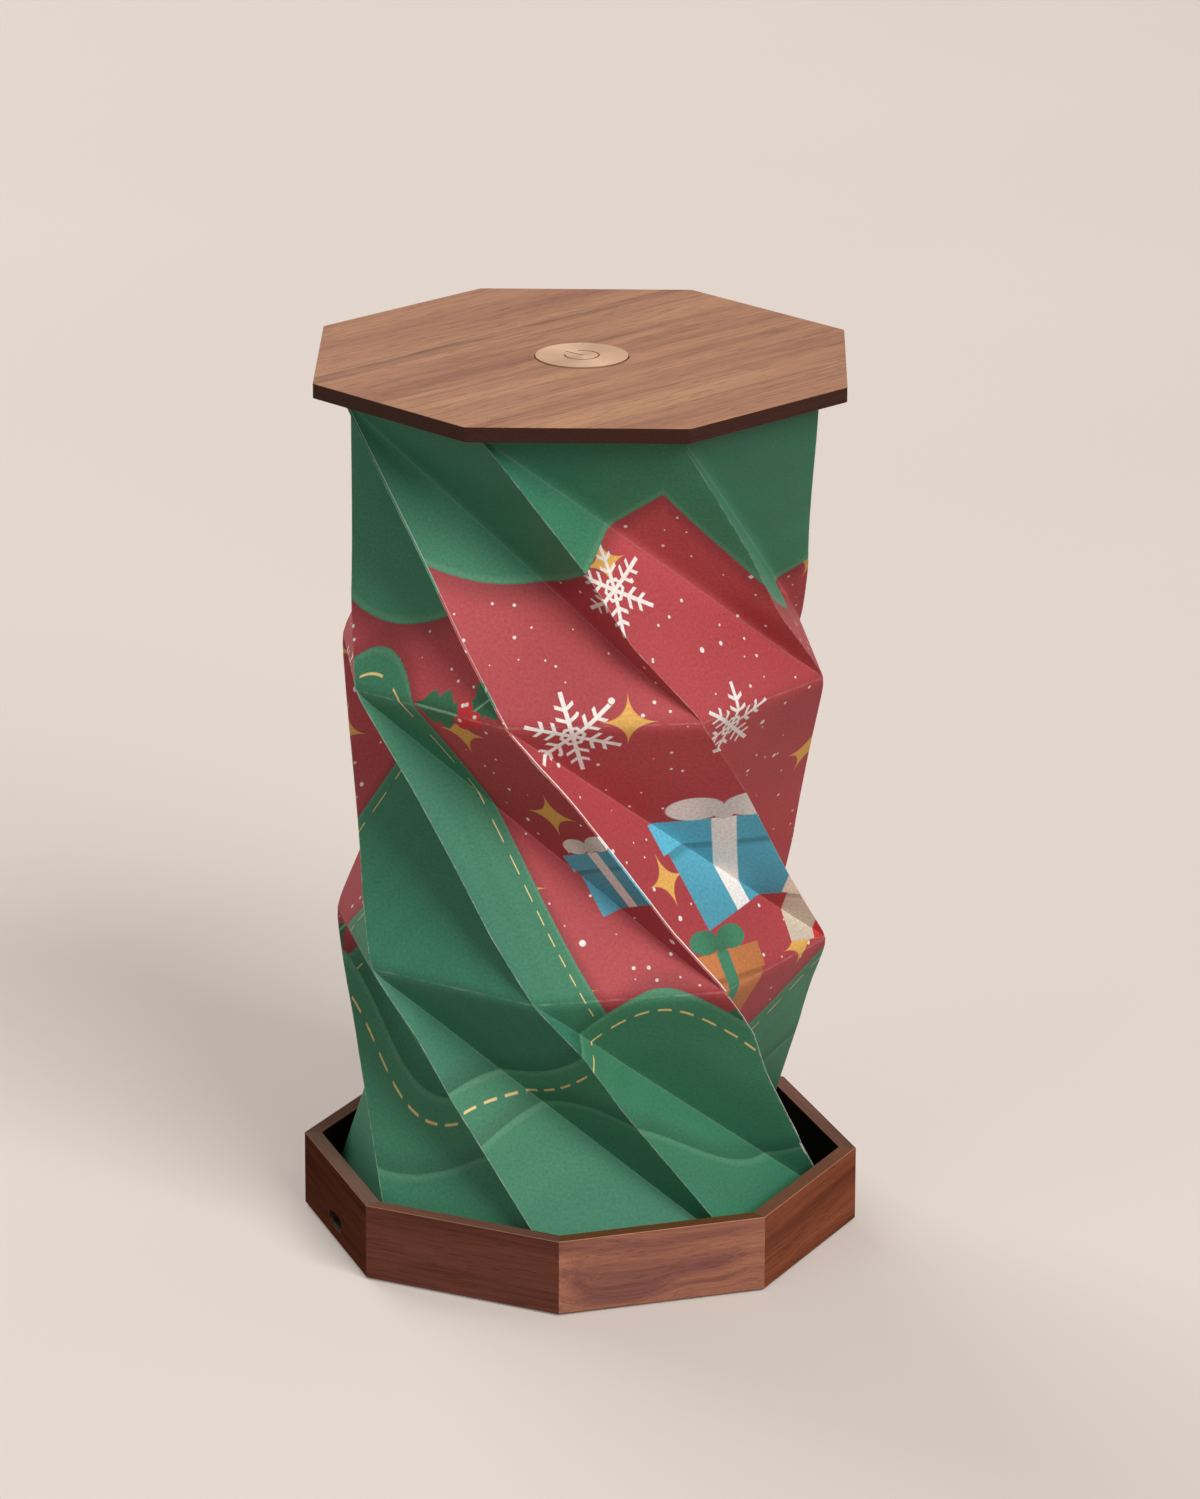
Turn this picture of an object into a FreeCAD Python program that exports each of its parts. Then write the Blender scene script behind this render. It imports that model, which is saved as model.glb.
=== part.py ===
# Folding table lamp: octagonal wooden tray, twist-folded paper shade in three tiers, and a wooden lid with a
# round power button. Millimetres, +Z up. The origin is on the ground under the middle of the tray, and the
# tray's sides face X, Y and between.
import FreeCAD, Part
import math
import os
import Sketcher

doc = FreeCAD.newDocument("FoldingLamp")
sheet = doc.addObject("Spreadsheet::Sheet", "Sizes")

SIZES = {
    # tray of eight mitred strips
    "across_flats": 120.0,
    "tray_wall": 3.7,
    "tray_height": 17.9,
    "tray_lift": 0.4,
    "rim_break": 0.15,
    "bottom_break": 0.35,
    "edge_tolerance": 0.03,
    # floor and deck of the tray
    "foot_radius": 4.0,
    "foot_thickness": 1.0,
    "foot_wall_gap": 10.3,
    "board_thickness": 1.7,
    "board_clearance": 0.2,
    "rabbet_depth": 1.2,
    "bay_height": 2.8,
    "deck_thickness": 1.2,
    "deck_clearance": 0.1,
    "spacer_radius": 2.6,
    "spacer_wall_gap": 8.2,
    "screw_radius": 1.0,
    "screw_length": 3.9,
    "screw_head_radius": 1.9,
    "screw_head_height": 0.6,
    "screw_clearance": 0.1,
    # shade
    "shade_wall_gap": 2.44,
    "lower_tier": 65.8,
    "middle_tier": 65.2,
    "upper_tier": 67.7,
    "twist_per_tier": 51.45,
    "paper_thickness": 0.4,
    "hem_width": 6.0,
    # lid
    "lid_thickness": 3.5,
    "lid_corner_round": 1.0,
    "lid_break": 0.1,
    # power button
    "button_radius": 10.6,
    "button_gap": 0.2,
    "button_proud": 0.3,
    "ledge_thickness": 1.8,
    "flange_radius": 12.0,
    "flange_thickness": 1.0,
    "flange_clearance": 0.3,
    "flange_seat_gap": 0.1,
    "stem_radius": 2.2,
    "stem_drop": 0.6,
    "icon_radius": 4.1,
    "icon_stroke": 0.4,
    "icon_depth": 0.15,
    "icon_mouth": 4.7,
    "icon_bar_length": 5.3,
    "icon_bar_start": -0.5,
    "icon_turn": 276.0,
    # switch under the lid
    "plunger_radius": 1.7,
    "plunger_length": 2.1,
    "plunger_clearance": 0.2,
    "plunger_bore": 1.7,
    "tact_side": 6.0,
    "tact_height": 2.0,
    "tact_below_stem": 1.1,
    "switch_board_radius": 11.5,
    "switch_board_thickness": 1.0,
    "switch_board_clearance": 0.3,
    "board_ledge_width": 1.2,
    "board_ledge_height": 0.3,
    "housing_wall": 1.0,
    "housing_floor": 0.9,
    "housing_flange_radius": 17.0,
    "housing_flange_thickness": 1.2,
    "housing_screw_circle": 15.0,
    "small_screw_radius": 0.8,
    "small_screw_head_radius": 1.5,
    "small_screw_head_height": 0.8,
    "small_screw_bite": 2.0,
    # charging socket and driver board
    "driver_length": 34.0,
    "driver_width": 32.0,
    "driver_thickness": 0.8,
    "driver_wall_gap": 0.3,
    "usb_width": 8.94,
    "usb_height": 3.2,
    "usb_depth": 7.3,
    "usb_wall": 0.3,
    "usb_recess": 0.5,
    "usb_clearance": 0.3,
    "tongue_width": 6.7,
    "tongue_thickness": 0.7,
    "tongue_length": 4.6,
    "coil_side": 5.0,
    "coil_height": 1.8,
    "chip_side": 4.0,
    "chip_height": 0.9,
    "plug_length": 5.0,
    "plug_width": 3.6,
    "plug_height": 1.4,
    # battery
    "battery_length": 56.0,
    "battery_width": 40.0,
    "battery_thickness": 2.4,
    "battery_round": 1.0,
    "battery_gap": 2.5,
    "pad_thickness": 0.3,
    "pad_inset": 2.0,
    # light
    "led_board_outer": 20.3,
    "led_board_inner": 9.3,
    "led_board_thickness": 1.2,
    "led_length": 3.5,
    "led_width": 2.8,
    "led_height": 0.7,
    "led_circle": 14.8,
    "diffuser_outer": 21.6,
    "diffuser_inner": 7.9,
    "diffuser_wall": 1.0,
    "diffuser_height": 5.2,
    # switch lead
    "lead_radius": 0.6,
    "lead_inset": 3.6,
    "lead_gap": 0.3,
    "lead_drop_radius": 33.0,
    # room that every cut runs past its piece
    "overrun": 1.0,
}
for row, (alias, size) in enumerate(SIZES.items(), start=1):
    sheet.set(f"A{row}", alias)
    sheet.set(f"B{row}", str(size))
    sheet.setAlias(f"B{row}", alias)
doc.recompute()

SIDES = 8
TIERS = 3
HALF_SIDE = 180 / SIDES
STEP = 360 / SIDES

# Levels and half widths, as expressions of the sheet
BOARD_TOP = "(Sizes.foot_thickness + Sizes.board_thickness)"
DECK_BOTTOM = f"({BOARD_TOP} + Sizes.bay_height)"
DECK_TOP = f"({DECK_BOTTOM} + Sizes.deck_thickness)"
LID_LEVEL = f"({DECK_TOP} + Sizes.lower_tier + Sizes.middle_tier + Sizes.upper_tier)"
LID_TURN = f"(-{TIERS} * Sizes.twist_per_tier)"
OUTER_FLAT = "(Sizes.across_flats / 2)"
INNER_FLAT = f"({OUTER_FLAT} - Sizes.tray_wall)"
SHADE_RADIUS = f"(({INNER_FLAT} - Sizes.shade_wall_gap) / cos({HALF_SIDE}))"

pieces = []


def number(expression):
    """The present value of an expression of the sheet."""
    found = sheet.evalExpression(expression)
    return float(getattr(found, "Value", found))


def place(thing, x="0", y="0", z="0", turn="0"):
    """Binds an object's place and its turn about +Z to the sheet."""
    thing.Placement = FreeCAD.Placement(FreeCAD.Vector(), FreeCAD.Rotation(FreeCAD.Vector(0, 0, 1), 0))
    thing.setExpression("Placement.Base.x", x)
    thing.setExpression("Placement.Base.y", y)
    thing.setExpression("Placement.Base.z", z)
    thing.setExpression("Placement.Rotation.Angle", turn)
    return thing


def cylinder(name, radius, height, z, x="0", y="0"):
    thing = doc.addObject("Part::Cylinder", name)
    thing.setExpression("Radius", radius)
    thing.setExpression("Height", height)
    return place(thing, x, y, z)


def block(name, length, width, height, x, y, z, turn="0"):
    """A box whose bottom face is centred on x, y."""
    thing = doc.addObject("Part::Box", name)
    thing.setExpression("Length", length)
    thing.setExpression("Width", width)
    thing.setExpression("Height", height)
    corner_x = f"{x} - ({length}) / 2 * cos({turn}) + ({width}) / 2 * sin({turn})"
    corner_y = f"{y} - ({length}) / 2 * sin({turn}) - ({width}) / 2 * cos({turn})"
    return place(thing, corner_x, corner_y, z, turn)


def octagon(name, half_width, height, z):
    """An eight-sided prism with flats that face X and Y."""
    thing = doc.addObject("Part::Prism", name)
    thing.Polygon = SIDES
    thing.setExpression("Circumradius", f"({half_width}) / cos({HALF_SIDE})")
    thing.setExpression("Height", height)
    return place(thing, z=z, turn=str(HALF_SIDE))


def cut(name, base, *tools):
    """The base with one or more tools taken away."""
    tool = tools[0] if len(tools) == 1 else fuse(name + "_tools", *tools)
    thing = doc.addObject("Part::Cut", name)
    thing.Base = base
    thing.Tool = tool
    return thing


def fuse(name, *parts):
    thing = doc.addObject("Part::MultiFuse", name)
    thing.Shapes = list(parts)
    return thing


def group(name, parts):
    """Identical loose pieces that share one node."""
    thing = doc.addObject("Part::Compound", name)
    thing.Links = list(parts)
    return thing


def piece(label, thing):
    """Names a finished sub-part."""
    thing.Label = label
    pieces.append(thing)
    return thing


def origin_plane(body, role):
    return next(feature for feature in body.Origin.OriginFeatures if feature.Role == role)


def outline(body, name, role, points):
    """A closed sketch of straight lines whose corners are bound to the sheet."""
    sketch = body.newObject("Sketcher::SketchObject", name)
    sketch.AttachmentSupport = (origin_plane(body, role), "")
    sketch.MapMode = "FlatFace"
    corners = [FreeCAD.Vector(number(x), number(y), 0) for x, y in points]
    count = len(corners)
    for index in range(count):
        sketch.addGeometry(Part.LineSegment(corners[index], corners[(index + 1) % count]), False)
    for index in range(count):
        sketch.addConstraint(Sketcher.Constraint("Coincident", index, 2, (index + 1) % count, 1))
    for index, (x, y) in enumerate(points):
        across = sketch.addConstraint(Sketcher.Constraint("DistanceX", -1, 1, index, 1, corners[index].x))
        sketch.setExpression(f"Constraints[{across}]", x)
        along = sketch.addConstraint(Sketcher.Constraint("DistanceY", -1, 1, index, 1, corners[index].y))
        sketch.setExpression(f"Constraints[{along}]", y)
    return sketch


def circles(body, name, role, places):
    """A sketch of circles, each given as x, y and radius."""
    sketch = body.newObject("Sketcher::SketchObject", name)
    sketch.AttachmentSupport = (origin_plane(body, role), "")
    sketch.MapMode = "FlatFace"
    for index, (x, y, radius) in enumerate(places):
        middle = FreeCAD.Vector(number(x), number(y), 0)
        sketch.addGeometry(Part.Circle(middle, FreeCAD.Vector(0, 0, 1), number(radius)), False)
        size = sketch.addConstraint(Sketcher.Constraint("Radius", index, number(radius)))
        sketch.setExpression(f"Constraints[{size}]", radius)
        across = sketch.addConstraint(Sketcher.Constraint("DistanceX", -1, 1, index, 3, middle.x))
        sketch.setExpression(f"Constraints[{across}]", x)
        along = sketch.addConstraint(Sketcher.Constraint("DistanceY", -1, 1, index, 3, middle.y))
        sketch.setExpression(f"Constraints[{along}]", y)
    return sketch


def pad(body, name, profile, length):
    feature = body.newObject("PartDesign::Pad", name)
    feature.Profile = profile
    feature.setExpression("Length", length)
    return feature


def pocket(body, name, profile, length):
    """Cuts upward from the body's bottom plane."""
    feature = body.newObject("PartDesign::Pocket", name)
    feature.Profile = profile
    feature.Reversed = True
    feature.setExpression("Length", length)
    return feature


def chosen_edges(body, chosen):
    """The body's tip and the names of those of its edges that the test picks."""
    doc.recompute()
    base = body.Tip
    return base, [f"Edge{index}" for index, edge in enumerate(base.Shape.Edges, start=1) if chosen(edge)]


def break_edges(body, name, chosen, size):
    """Chamfers the edges of the body's tip that the test picks."""
    found = chosen_edges(body, chosen)
    feature = body.newObject("PartDesign::Chamfer", name)
    feature.Base = found
    feature.setExpression("Size", size)
    return feature


def round_edges(body, name, chosen, radius):
    """Rounds the edges of the body's tip that the test picks."""
    found = chosen_edges(body, chosen)
    feature = body.newObject("PartDesign::Fillet", name)
    feature.Base = found
    feature.setExpression("Radius", radius)
    return feature


# Tray sides: mitred strips with a rabbet that takes the bottom board
def mitred(flat):
    """Half the length of a side at this distance from the axis."""
    return f"({flat}) * tan({HALF_SIDE})"


def strip_points(outer, inner):
    """Corners of a mitred strip on the -Y side."""
    return [
        (f"-{mitred(outer)}", f"-({outer})"),
        (mitred(outer), f"-({outer})"),
        (mitred(inner), f"-({inner})"),
        (f"-{mitred(inner)}", f"-({inner})"),
    ]


USB_LEVEL = f"({BOARD_TOP} + Sizes.driver_thickness)"


def stadium(name, width, height, length, x, z):
    """A flat-sided round-ended bar along X, its bottom at z and its end at x."""
    ends = []
    for side, sign in (("near", "-"), ("far", "+")):
        end = doc.addObject("Part::Cylinder", f"{name}_{side}")
        end.setExpression("Radius", f"({height}) / 2")
        end.setExpression("Height", length)
        end.Placement = FreeCAD.Placement(FreeCAD.Vector(), FreeCAD.Rotation(FreeCAD.Vector(0, 1, 0), 90))
        end.setExpression("Placement.Base.x", x)
        end.setExpression("Placement.Base.y", f"{sign}(({width}) - ({height})) / 2")
        end.setExpression("Placement.Base.z", f"{z} + ({height}) / 2")
        ends.append(end)
    middle = block(name + "_middle", length, f"({width}) - ({height})", height,
                   f"{x} + ({length}) / 2", "0", z)
    return fuse(name, middle, *ends)


def tray_side(label, turn):
    body = doc.addObject("PartDesign::Body", label + "_body")
    blank = outline(body, label + "_blank", "XY_Plane", strip_points(OUTER_FLAT, INNER_FLAT))
    pad(body, label + "_pad", blank, "Sizes.tray_height")
    rabbet_outer = f"{INNER_FLAT} + Sizes.rabbet_depth"
    rabbet_inner = f"{INNER_FLAT} - Sizes.overrun"
    rabbet = outline(body, label + "_rabbet", "XY_Plane", strip_points(rabbet_outer, rabbet_inner))
    pocket(body, label + "_rabbet_cut", rabbet, f"{BOARD_TOP} - Sizes.tray_lift")
    outer = number(OUTER_FLAT)
    top = number("Sizes.tray_height")
    tolerance = number("Sizes.edge_tolerance")

    def outer_edge_at(edge, level):
        ends = [edge.Vertexes[0].Point, edge.Vertexes[-1].Point]
        return all(abs(end.y + outer) < tolerance and abs(end.z - level) < tolerance for end in ends)

    break_edges(body, label + "_rim", lambda edge: outer_edge_at(edge, top), "Sizes.rim_break")
    break_edges(body, label + "_bottom", lambda edge: outer_edge_at(edge, 0), "Sizes.bottom_break")
    return place(body, z="Sizes.tray_lift", turn=str(turn))


SIDE_NAMES = ["front", "front_right", "right", "back_right", "back", "back_left", "left", "front_left"]
for index, side in enumerate(SIDE_NAMES):
    label = f"tray_side_{side}"
    strip = tray_side(label, index * STEP)
    if side == "left":
        slot_width = "Sizes.usb_width + 2 * Sizes.usb_clearance"
        slot_height = "Sizes.usb_height + 2 * Sizes.usb_clearance"
        slot_length = "Sizes.tray_wall + 2 * Sizes.overrun"
        slot_start = f"-{OUTER_FLAT} - Sizes.overrun"
        slot = stadium("usb_slot", slot_width, slot_height, slot_length, slot_start,
                       f"{USB_LEVEL} - Sizes.usb_clearance")
        strip = cut("tray_side_left_cut", strip, slot)
    piece(label, strip)

# Floor of the tray, with its feet and screws
CORNERS = [(1, 1), (-1, 1), (-1, -1), (1, -1)]
BOARD_HALF = f"({INNER_FLAT} + Sizes.rabbet_depth - Sizes.board_clearance)"
board = octagon("board_blank", BOARD_HALF, "Sizes.board_thickness", "Sizes.foot_thickness")
screw_hole = "Sizes.screw_radius + Sizes.screw_clearance"
board_holes = []
spacers = []
screws = []
for index, (x, y) in enumerate(CORNERS):
    reach = f"({INNER_FLAT} - Sizes.spacer_wall_gap) * cos({STEP})"
    spot = (f"{x} * {reach}", f"{y} * {reach}")
    hole_height = "Sizes.board_thickness + 2 * Sizes.overrun"
    board_holes.append(cylinder(f"board_hole_{index}", screw_hole, hole_height,
                                "Sizes.foot_thickness - Sizes.overrun", *spot))
    spacer = cylinder(f"spacer_blank_{index}", "Sizes.spacer_radius", "Sizes.bay_height", BOARD_TOP, *spot)
    bore_height = "Sizes.screw_length - Sizes.board_thickness + Sizes.screw_clearance + Sizes.overrun"
    bore = cylinder(f"spacer_bore_{index}", screw_hole, bore_height, f"{BOARD_TOP} - Sizes.overrun", *spot)
    spacers.append(cut(f"spacer_{index}", spacer, bore))
    shank = cylinder(f"screw_shank_{index}", "Sizes.screw_radius", "Sizes.screw_length",
                     "Sizes.foot_thickness", *spot)
    head = cylinder(f"screw_head_{index}", "Sizes.screw_head_radius", "Sizes.screw_head_height",
                    "Sizes.foot_thickness - Sizes.screw_head_height", *spot)
    screws.append(fuse(f"screw_{index}", shank, head))
piece("bottom_board", cut("board", board, *board_holes))
piece("deck_spacers", group("spacers", spacers))
piece("base_screws", group("screws", screws))

feet = []
foot_reach = f"({INNER_FLAT} - Sizes.foot_wall_gap)"
for index, (x, y) in enumerate([(1, 0), (0, 1), (-1, 0), (0, -1)]):
    feet.append(cylinder(f"foot_{index}", "Sizes.foot_radius", "Sizes.foot_thickness", "0",
                         f"{x} * {foot_reach}", f"{y} * {foot_reach}"))
piece("rubber_feet", group("feet", feet))

# Charging socket, set in the left strip on the end of the driver board
USB_MOUTH = f"(-{OUTER_FLAT} + Sizes.usb_recess)"
shell = stadium("usb_shell", "Sizes.usb_width", "Sizes.usb_height", "Sizes.usb_depth", USB_MOUTH, USB_LEVEL)
hollow = stadium("usb_hollow", "Sizes.usb_width - 2 * Sizes.usb_wall",
                 "Sizes.usb_height - 2 * Sizes.usb_wall",
                 "Sizes.usb_depth - Sizes.usb_wall + Sizes.overrun", f"{USB_MOUTH} - Sizes.overrun",
                 f"{USB_LEVEL} + Sizes.usb_wall")
piece("usb_socket", cut("usb_socket_cut", shell, hollow))
tongue_middle = f"{USB_MOUTH} + Sizes.usb_depth - Sizes.usb_wall - Sizes.tongue_length / 2"
tongue_level = f"{USB_LEVEL} + Sizes.usb_height / 2 - Sizes.tongue_thickness / 2"
piece("usb_tongue", block("tongue", "Sizes.tongue_length", "Sizes.tongue_width", "Sizes.tongue_thickness",
                          tongue_middle, "0", tongue_level))

DRIVER_START = f"(-{INNER_FLAT} + Sizes.driver_wall_gap)"
DRIVER_END = f"({DRIVER_START} + Sizes.driver_length)"
driver_middle = f"{DRIVER_START} + Sizes.driver_length / 2"
piece("driver_board", block("driver", "Sizes.driver_length", "Sizes.driver_width", "Sizes.driver_thickness",
                            driver_middle, "0", BOARD_TOP))

# The lead comes down on a plug at the driver board, inside the shade's back left corner
LEAD_CORNER = SIDES // 2 - 1
LEAD_TURN = HALF_SIDE + LEAD_CORNER * STEP
lead_x = f"Sizes.lead_drop_radius * cos({LEAD_TURN})"
lead_y = f"Sizes.lead_drop_radius * sin({LEAD_TURN})"
PART_PLACE_SHARE = 0.25
coil = block("driver_coil", "Sizes.coil_side", "Sizes.coil_side", "Sizes.coil_height",
             driver_middle, f"-{PART_PLACE_SHARE} * Sizes.driver_width", USB_LEVEL)
chip = block("driver_chip", "Sizes.chip_side", "Sizes.chip_side", "Sizes.chip_height",
             f"{driver_middle} + {PART_PLACE_SHARE} * Sizes.driver_length", "0", USB_LEVEL)
lead_plug = block("driver_lead_plug", "Sizes.plug_length", "Sizes.plug_width", "Sizes.plug_height",
                  lead_x, lead_y, USB_LEVEL)
battery_plug = block("driver_battery_plug", "Sizes.plug_width", "Sizes.plug_length", "Sizes.plug_height",
                     f"{DRIVER_END} - Sizes.plug_width / 2", f"-{PART_PLACE_SHARE} * Sizes.driver_width",
                     USB_LEVEL)
piece("driver_components", group("driver_parts", [coil, chip, lead_plug, battery_plug]))

# Battery on its pad, beside the driver board
battery_middle = f"{DRIVER_END} + Sizes.battery_gap + Sizes.battery_length / 2"
piece("battery_pad", block("pad", "Sizes.battery_length - 2 * Sizes.pad_inset",
                           "Sizes.battery_width - 2 * Sizes.pad_inset", "Sizes.pad_thickness",
                           battery_middle, "0", BOARD_TOP))
cell = block("cell", "Sizes.battery_length", "Sizes.battery_width", "Sizes.battery_thickness",
             battery_middle, "0", f"{BOARD_TOP} + Sizes.pad_thickness")
doc.recompute()
rounded = doc.addObject("Part::Fillet", "battery_rounded")
rounded.Base = cell
battery_round = number("Sizes.battery_round")
rounded.Edges = [(index, battery_round, battery_round) for index, edge in enumerate(cell.Shape.Edges, start=1)
                 if abs(edge.Vertexes[0].Z - edge.Vertexes[1].Z) < battery_round
                 and abs(edge.Vertexes[0].X - edge.Vertexes[1].X) < battery_round]
piece("battery", rounded)

# Deck that the shade is glued to, notched around the socket, with a hole for the lead
deck = octagon("deck_blank", f"{INNER_FLAT} - Sizes.deck_clearance", "Sizes.deck_thickness", DECK_BOTTOM)
notch_length = "Sizes.usb_depth + Sizes.usb_clearance"
notch = block("deck_notch", notch_length, "Sizes.usb_width + 2 * Sizes.usb_clearance",
              "Sizes.deck_thickness + 2 * Sizes.overrun", f"{USB_MOUTH} + ({notch_length}) / 2", "0",
              f"{DECK_BOTTOM} - Sizes.overrun")
lead_hole = cylinder("deck_lead_hole", "Sizes.lead_radius + Sizes.lead_gap",
                     "Sizes.deck_thickness + 2 * Sizes.overrun", f"{DECK_BOTTOM} - Sizes.overrun",
                     lead_x, lead_y)

# Ring of light sources, with a screw in place of a source at even steps around the ring
LED_PLACE_COUNT = 12
LED_SCREW_COUNT = 3
small_hole = "Sizes.small_screw_radius + Sizes.screw_clearance"
LED_BOARD_TOP = f"({DECK_TOP} + Sizes.led_board_thickness)"
led_ring = cylinder("led_ring", "Sizes.led_board_outer", "Sizes.led_board_thickness", DECK_TOP)
led_eye = cylinder("led_eye", "Sizes.led_board_inner", "Sizes.led_board_thickness + 2 * Sizes.overrun",
                   f"{DECK_TOP} - Sizes.overrun")
led_holes = []
deck_screw_holes = []
led_chips = []
led_screws = []
for index in range(LED_PLACE_COUNT):
    turn = index * 360 / LED_PLACE_COUNT
    x = f"Sizes.led_circle * cos({turn})"
    y = f"Sizes.led_circle * sin({turn})"
    if index % (LED_PLACE_COUNT // LED_SCREW_COUNT):
        led_chips.append(block(f"led_{index}", "Sizes.led_width", "Sizes.led_length", "Sizes.led_height",
                               x, y, LED_BOARD_TOP, str(turn)))
    else:
        shank_length = "Sizes.led_board_thickness + Sizes.deck_thickness"
        led_holes.append(cylinder(f"led_hole_{index}", small_hole, f"{shank_length} + 2 * Sizes.overrun",
                                  f"{DECK_BOTTOM} - Sizes.overrun", x, y))
        deck_screw_holes.append(cylinder(f"deck_screw_hole_{index}", small_hole,
                                         f"{shank_length} + 2 * Sizes.overrun",
                                         f"{DECK_BOTTOM} - Sizes.overrun", x, y))
        shank = cylinder(f"led_screw_shank_{index}", "Sizes.small_screw_radius", shank_length, DECK_BOTTOM,
                         x, y)
        head = cylinder(f"led_screw_head_{index}", "Sizes.small_screw_head_radius",
                        "Sizes.small_screw_head_height", LED_BOARD_TOP, x, y)
        led_screws.append(fuse(f"led_screw_{index}", shank, head))
piece("deck", cut("deck_cut", deck, notch, lead_hole, *deck_screw_holes))
piece("led_board", cut("led_board_cut", led_ring, led_eye, *led_holes))
piece("led_chips", group("leds", led_chips))
piece("led_screws", group("led_screw_set", led_screws))

# Opal cover over the light ring, open in the middle
cover = cylinder("cover_blank", "Sizes.diffuser_outer", "Sizes.diffuser_height", DECK_TOP)
cover_hole = cylinder("cover_hole", "Sizes.diffuser_inner", "Sizes.diffuser_height + 2 * Sizes.overrun",
                      f"{DECK_TOP} - Sizes.overrun")
inside_height = "Sizes.diffuser_height - Sizes.diffuser_wall + Sizes.overrun"
inside = cylinder("cover_inside", "Sizes.diffuser_outer - Sizes.diffuser_wall", inside_height,
                  f"{DECK_TOP} - Sizes.overrun")
hub = cylinder("cover_hub", "Sizes.diffuser_inner + Sizes.diffuser_wall", inside_height,
               f"{DECK_TOP} - Sizes.overrun")
trough = cut("cover_trough", inside, hub)
piece("diffuser", cut("cover", cover, cover_hole, trough))

# Lid: octagonal board as wide as the tray, with a stepped hole for the button
lid = doc.addObject("PartDesign::Body", "lid_body")
lid_corners = []
for index in range(SIDES):
    turn = HALF_SIDE + index * STEP
    radius = f"{OUTER_FLAT} / cos({HALF_SIDE})"
    lid_corners.append((f"{radius} * cos({turn})", f"{radius} * sin({turn})"))
pad(lid, "lid_pad", outline(lid, "lid_outline", "XY_Plane", lid_corners), "Sizes.lid_thickness")
button_hole = [("0", "0", "Sizes.button_radius + Sizes.button_gap")]
pocket(lid, "lid_hole_cut", circles(lid, "lid_hole", "XY_Plane", button_hole), "Sizes.lid_thickness")
flange_hole = [("0", "0", "Sizes.flange_radius + Sizes.flange_clearance")]
pocket(lid, "lid_step_cut", circles(lid, "lid_step", "XY_Plane", flange_hole),
       "Sizes.lid_thickness - Sizes.ledge_thickness")
HOUSING_SCREW_COUNT = 3
housing_spots = []
for index in range(HOUSING_SCREW_COUNT):
    turn = index * 360 / HOUSING_SCREW_COUNT
    housing_spots.append((f"Sizes.housing_screw_circle * cos({turn})",
                          f"Sizes.housing_screw_circle * sin({turn})"))
pilot_holes = [(x, y, small_hole) for x, y in housing_spots]
pocket(lid, "lid_pilot_cut", circles(lid, "lid_pilots", "XY_Plane", pilot_holes),
       "Sizes.small_screw_bite + Sizes.screw_clearance")
lid_flat = number(OUTER_FLAT)


def lid_outer_edge(edge, upright):
    first, last = edge.Vertexes[0].Point, edge.Vertexes[-1].Point
    outside = math.hypot(first.x, first.y) > lid_flat and math.hypot(last.x, last.y) > lid_flat
    return outside and (abs(first.z - last.z) > number("Sizes.edge_tolerance")) == upright


round_edges(lid, "lid_corners", lambda edge: lid_outer_edge(edge, True), "Sizes.lid_corner_round")
break_edges(lid, "lid_edges", lambda edge: lid_outer_edge(edge, False), "Sizes.lid_break")
piece("lid_plate", place(lid, z=LID_LEVEL, turn=LID_TURN))

# Power button: metal disc with a flange held under the lid's ledge, and an engraved power sign
FLANGE_TOP = f"({LID_LEVEL} + Sizes.lid_thickness - Sizes.ledge_thickness - Sizes.flange_seat_gap)"
BUTTON_TOP = f"({LID_LEVEL} + Sizes.lid_thickness + Sizes.button_proud)"
FLANGE_BOTTOM = f"({FLANGE_TOP} - Sizes.flange_thickness)"
STEM_BOTTOM = f"({LID_LEVEL} - Sizes.stem_drop)"
cap = cylinder("button_cap", "Sizes.button_radius", f"{BUTTON_TOP} - {FLANGE_BOTTOM}", FLANGE_BOTTOM)
flange = cylinder("button_flange", "Sizes.flange_radius", "Sizes.flange_thickness", FLANGE_BOTTOM)
stem = cylinder("button_stem", "Sizes.stem_radius", f"{FLANGE_TOP} - {STEM_BOTTOM}", STEM_BOTTOM)
icon_level = f"{BUTTON_TOP} - Sizes.icon_depth"
icon_height = "Sizes.icon_depth + Sizes.overrun"
icon_ring = cylinder("icon_ring", "Sizes.icon_radius", icon_height, icon_level)
icon_inside = cylinder("icon_inside", "Sizes.icon_radius - Sizes.icon_stroke", icon_height, icon_level)
icon_mouth = block("icon_mouth_block", "Sizes.icon_radius + Sizes.overrun", "Sizes.icon_mouth", icon_height,
                   "(Sizes.icon_radius + Sizes.overrun) / 2", "0", icon_level)
icon_arc = cut("icon_arc", icon_ring, icon_inside, icon_mouth)
icon_bar = block("icon_bar", "Sizes.icon_bar_length", "Sizes.icon_stroke", icon_height,
                 "Sizes.icon_bar_start + Sizes.icon_bar_length / 2", "0", icon_level)
icon = place(fuse("icon", icon_arc, icon_bar), turn=f"{LID_TURN} + Sizes.icon_turn")
piece("power_button", cut("button_cut", fuse("button_solid", cap, flange, stem), icon))

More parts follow.
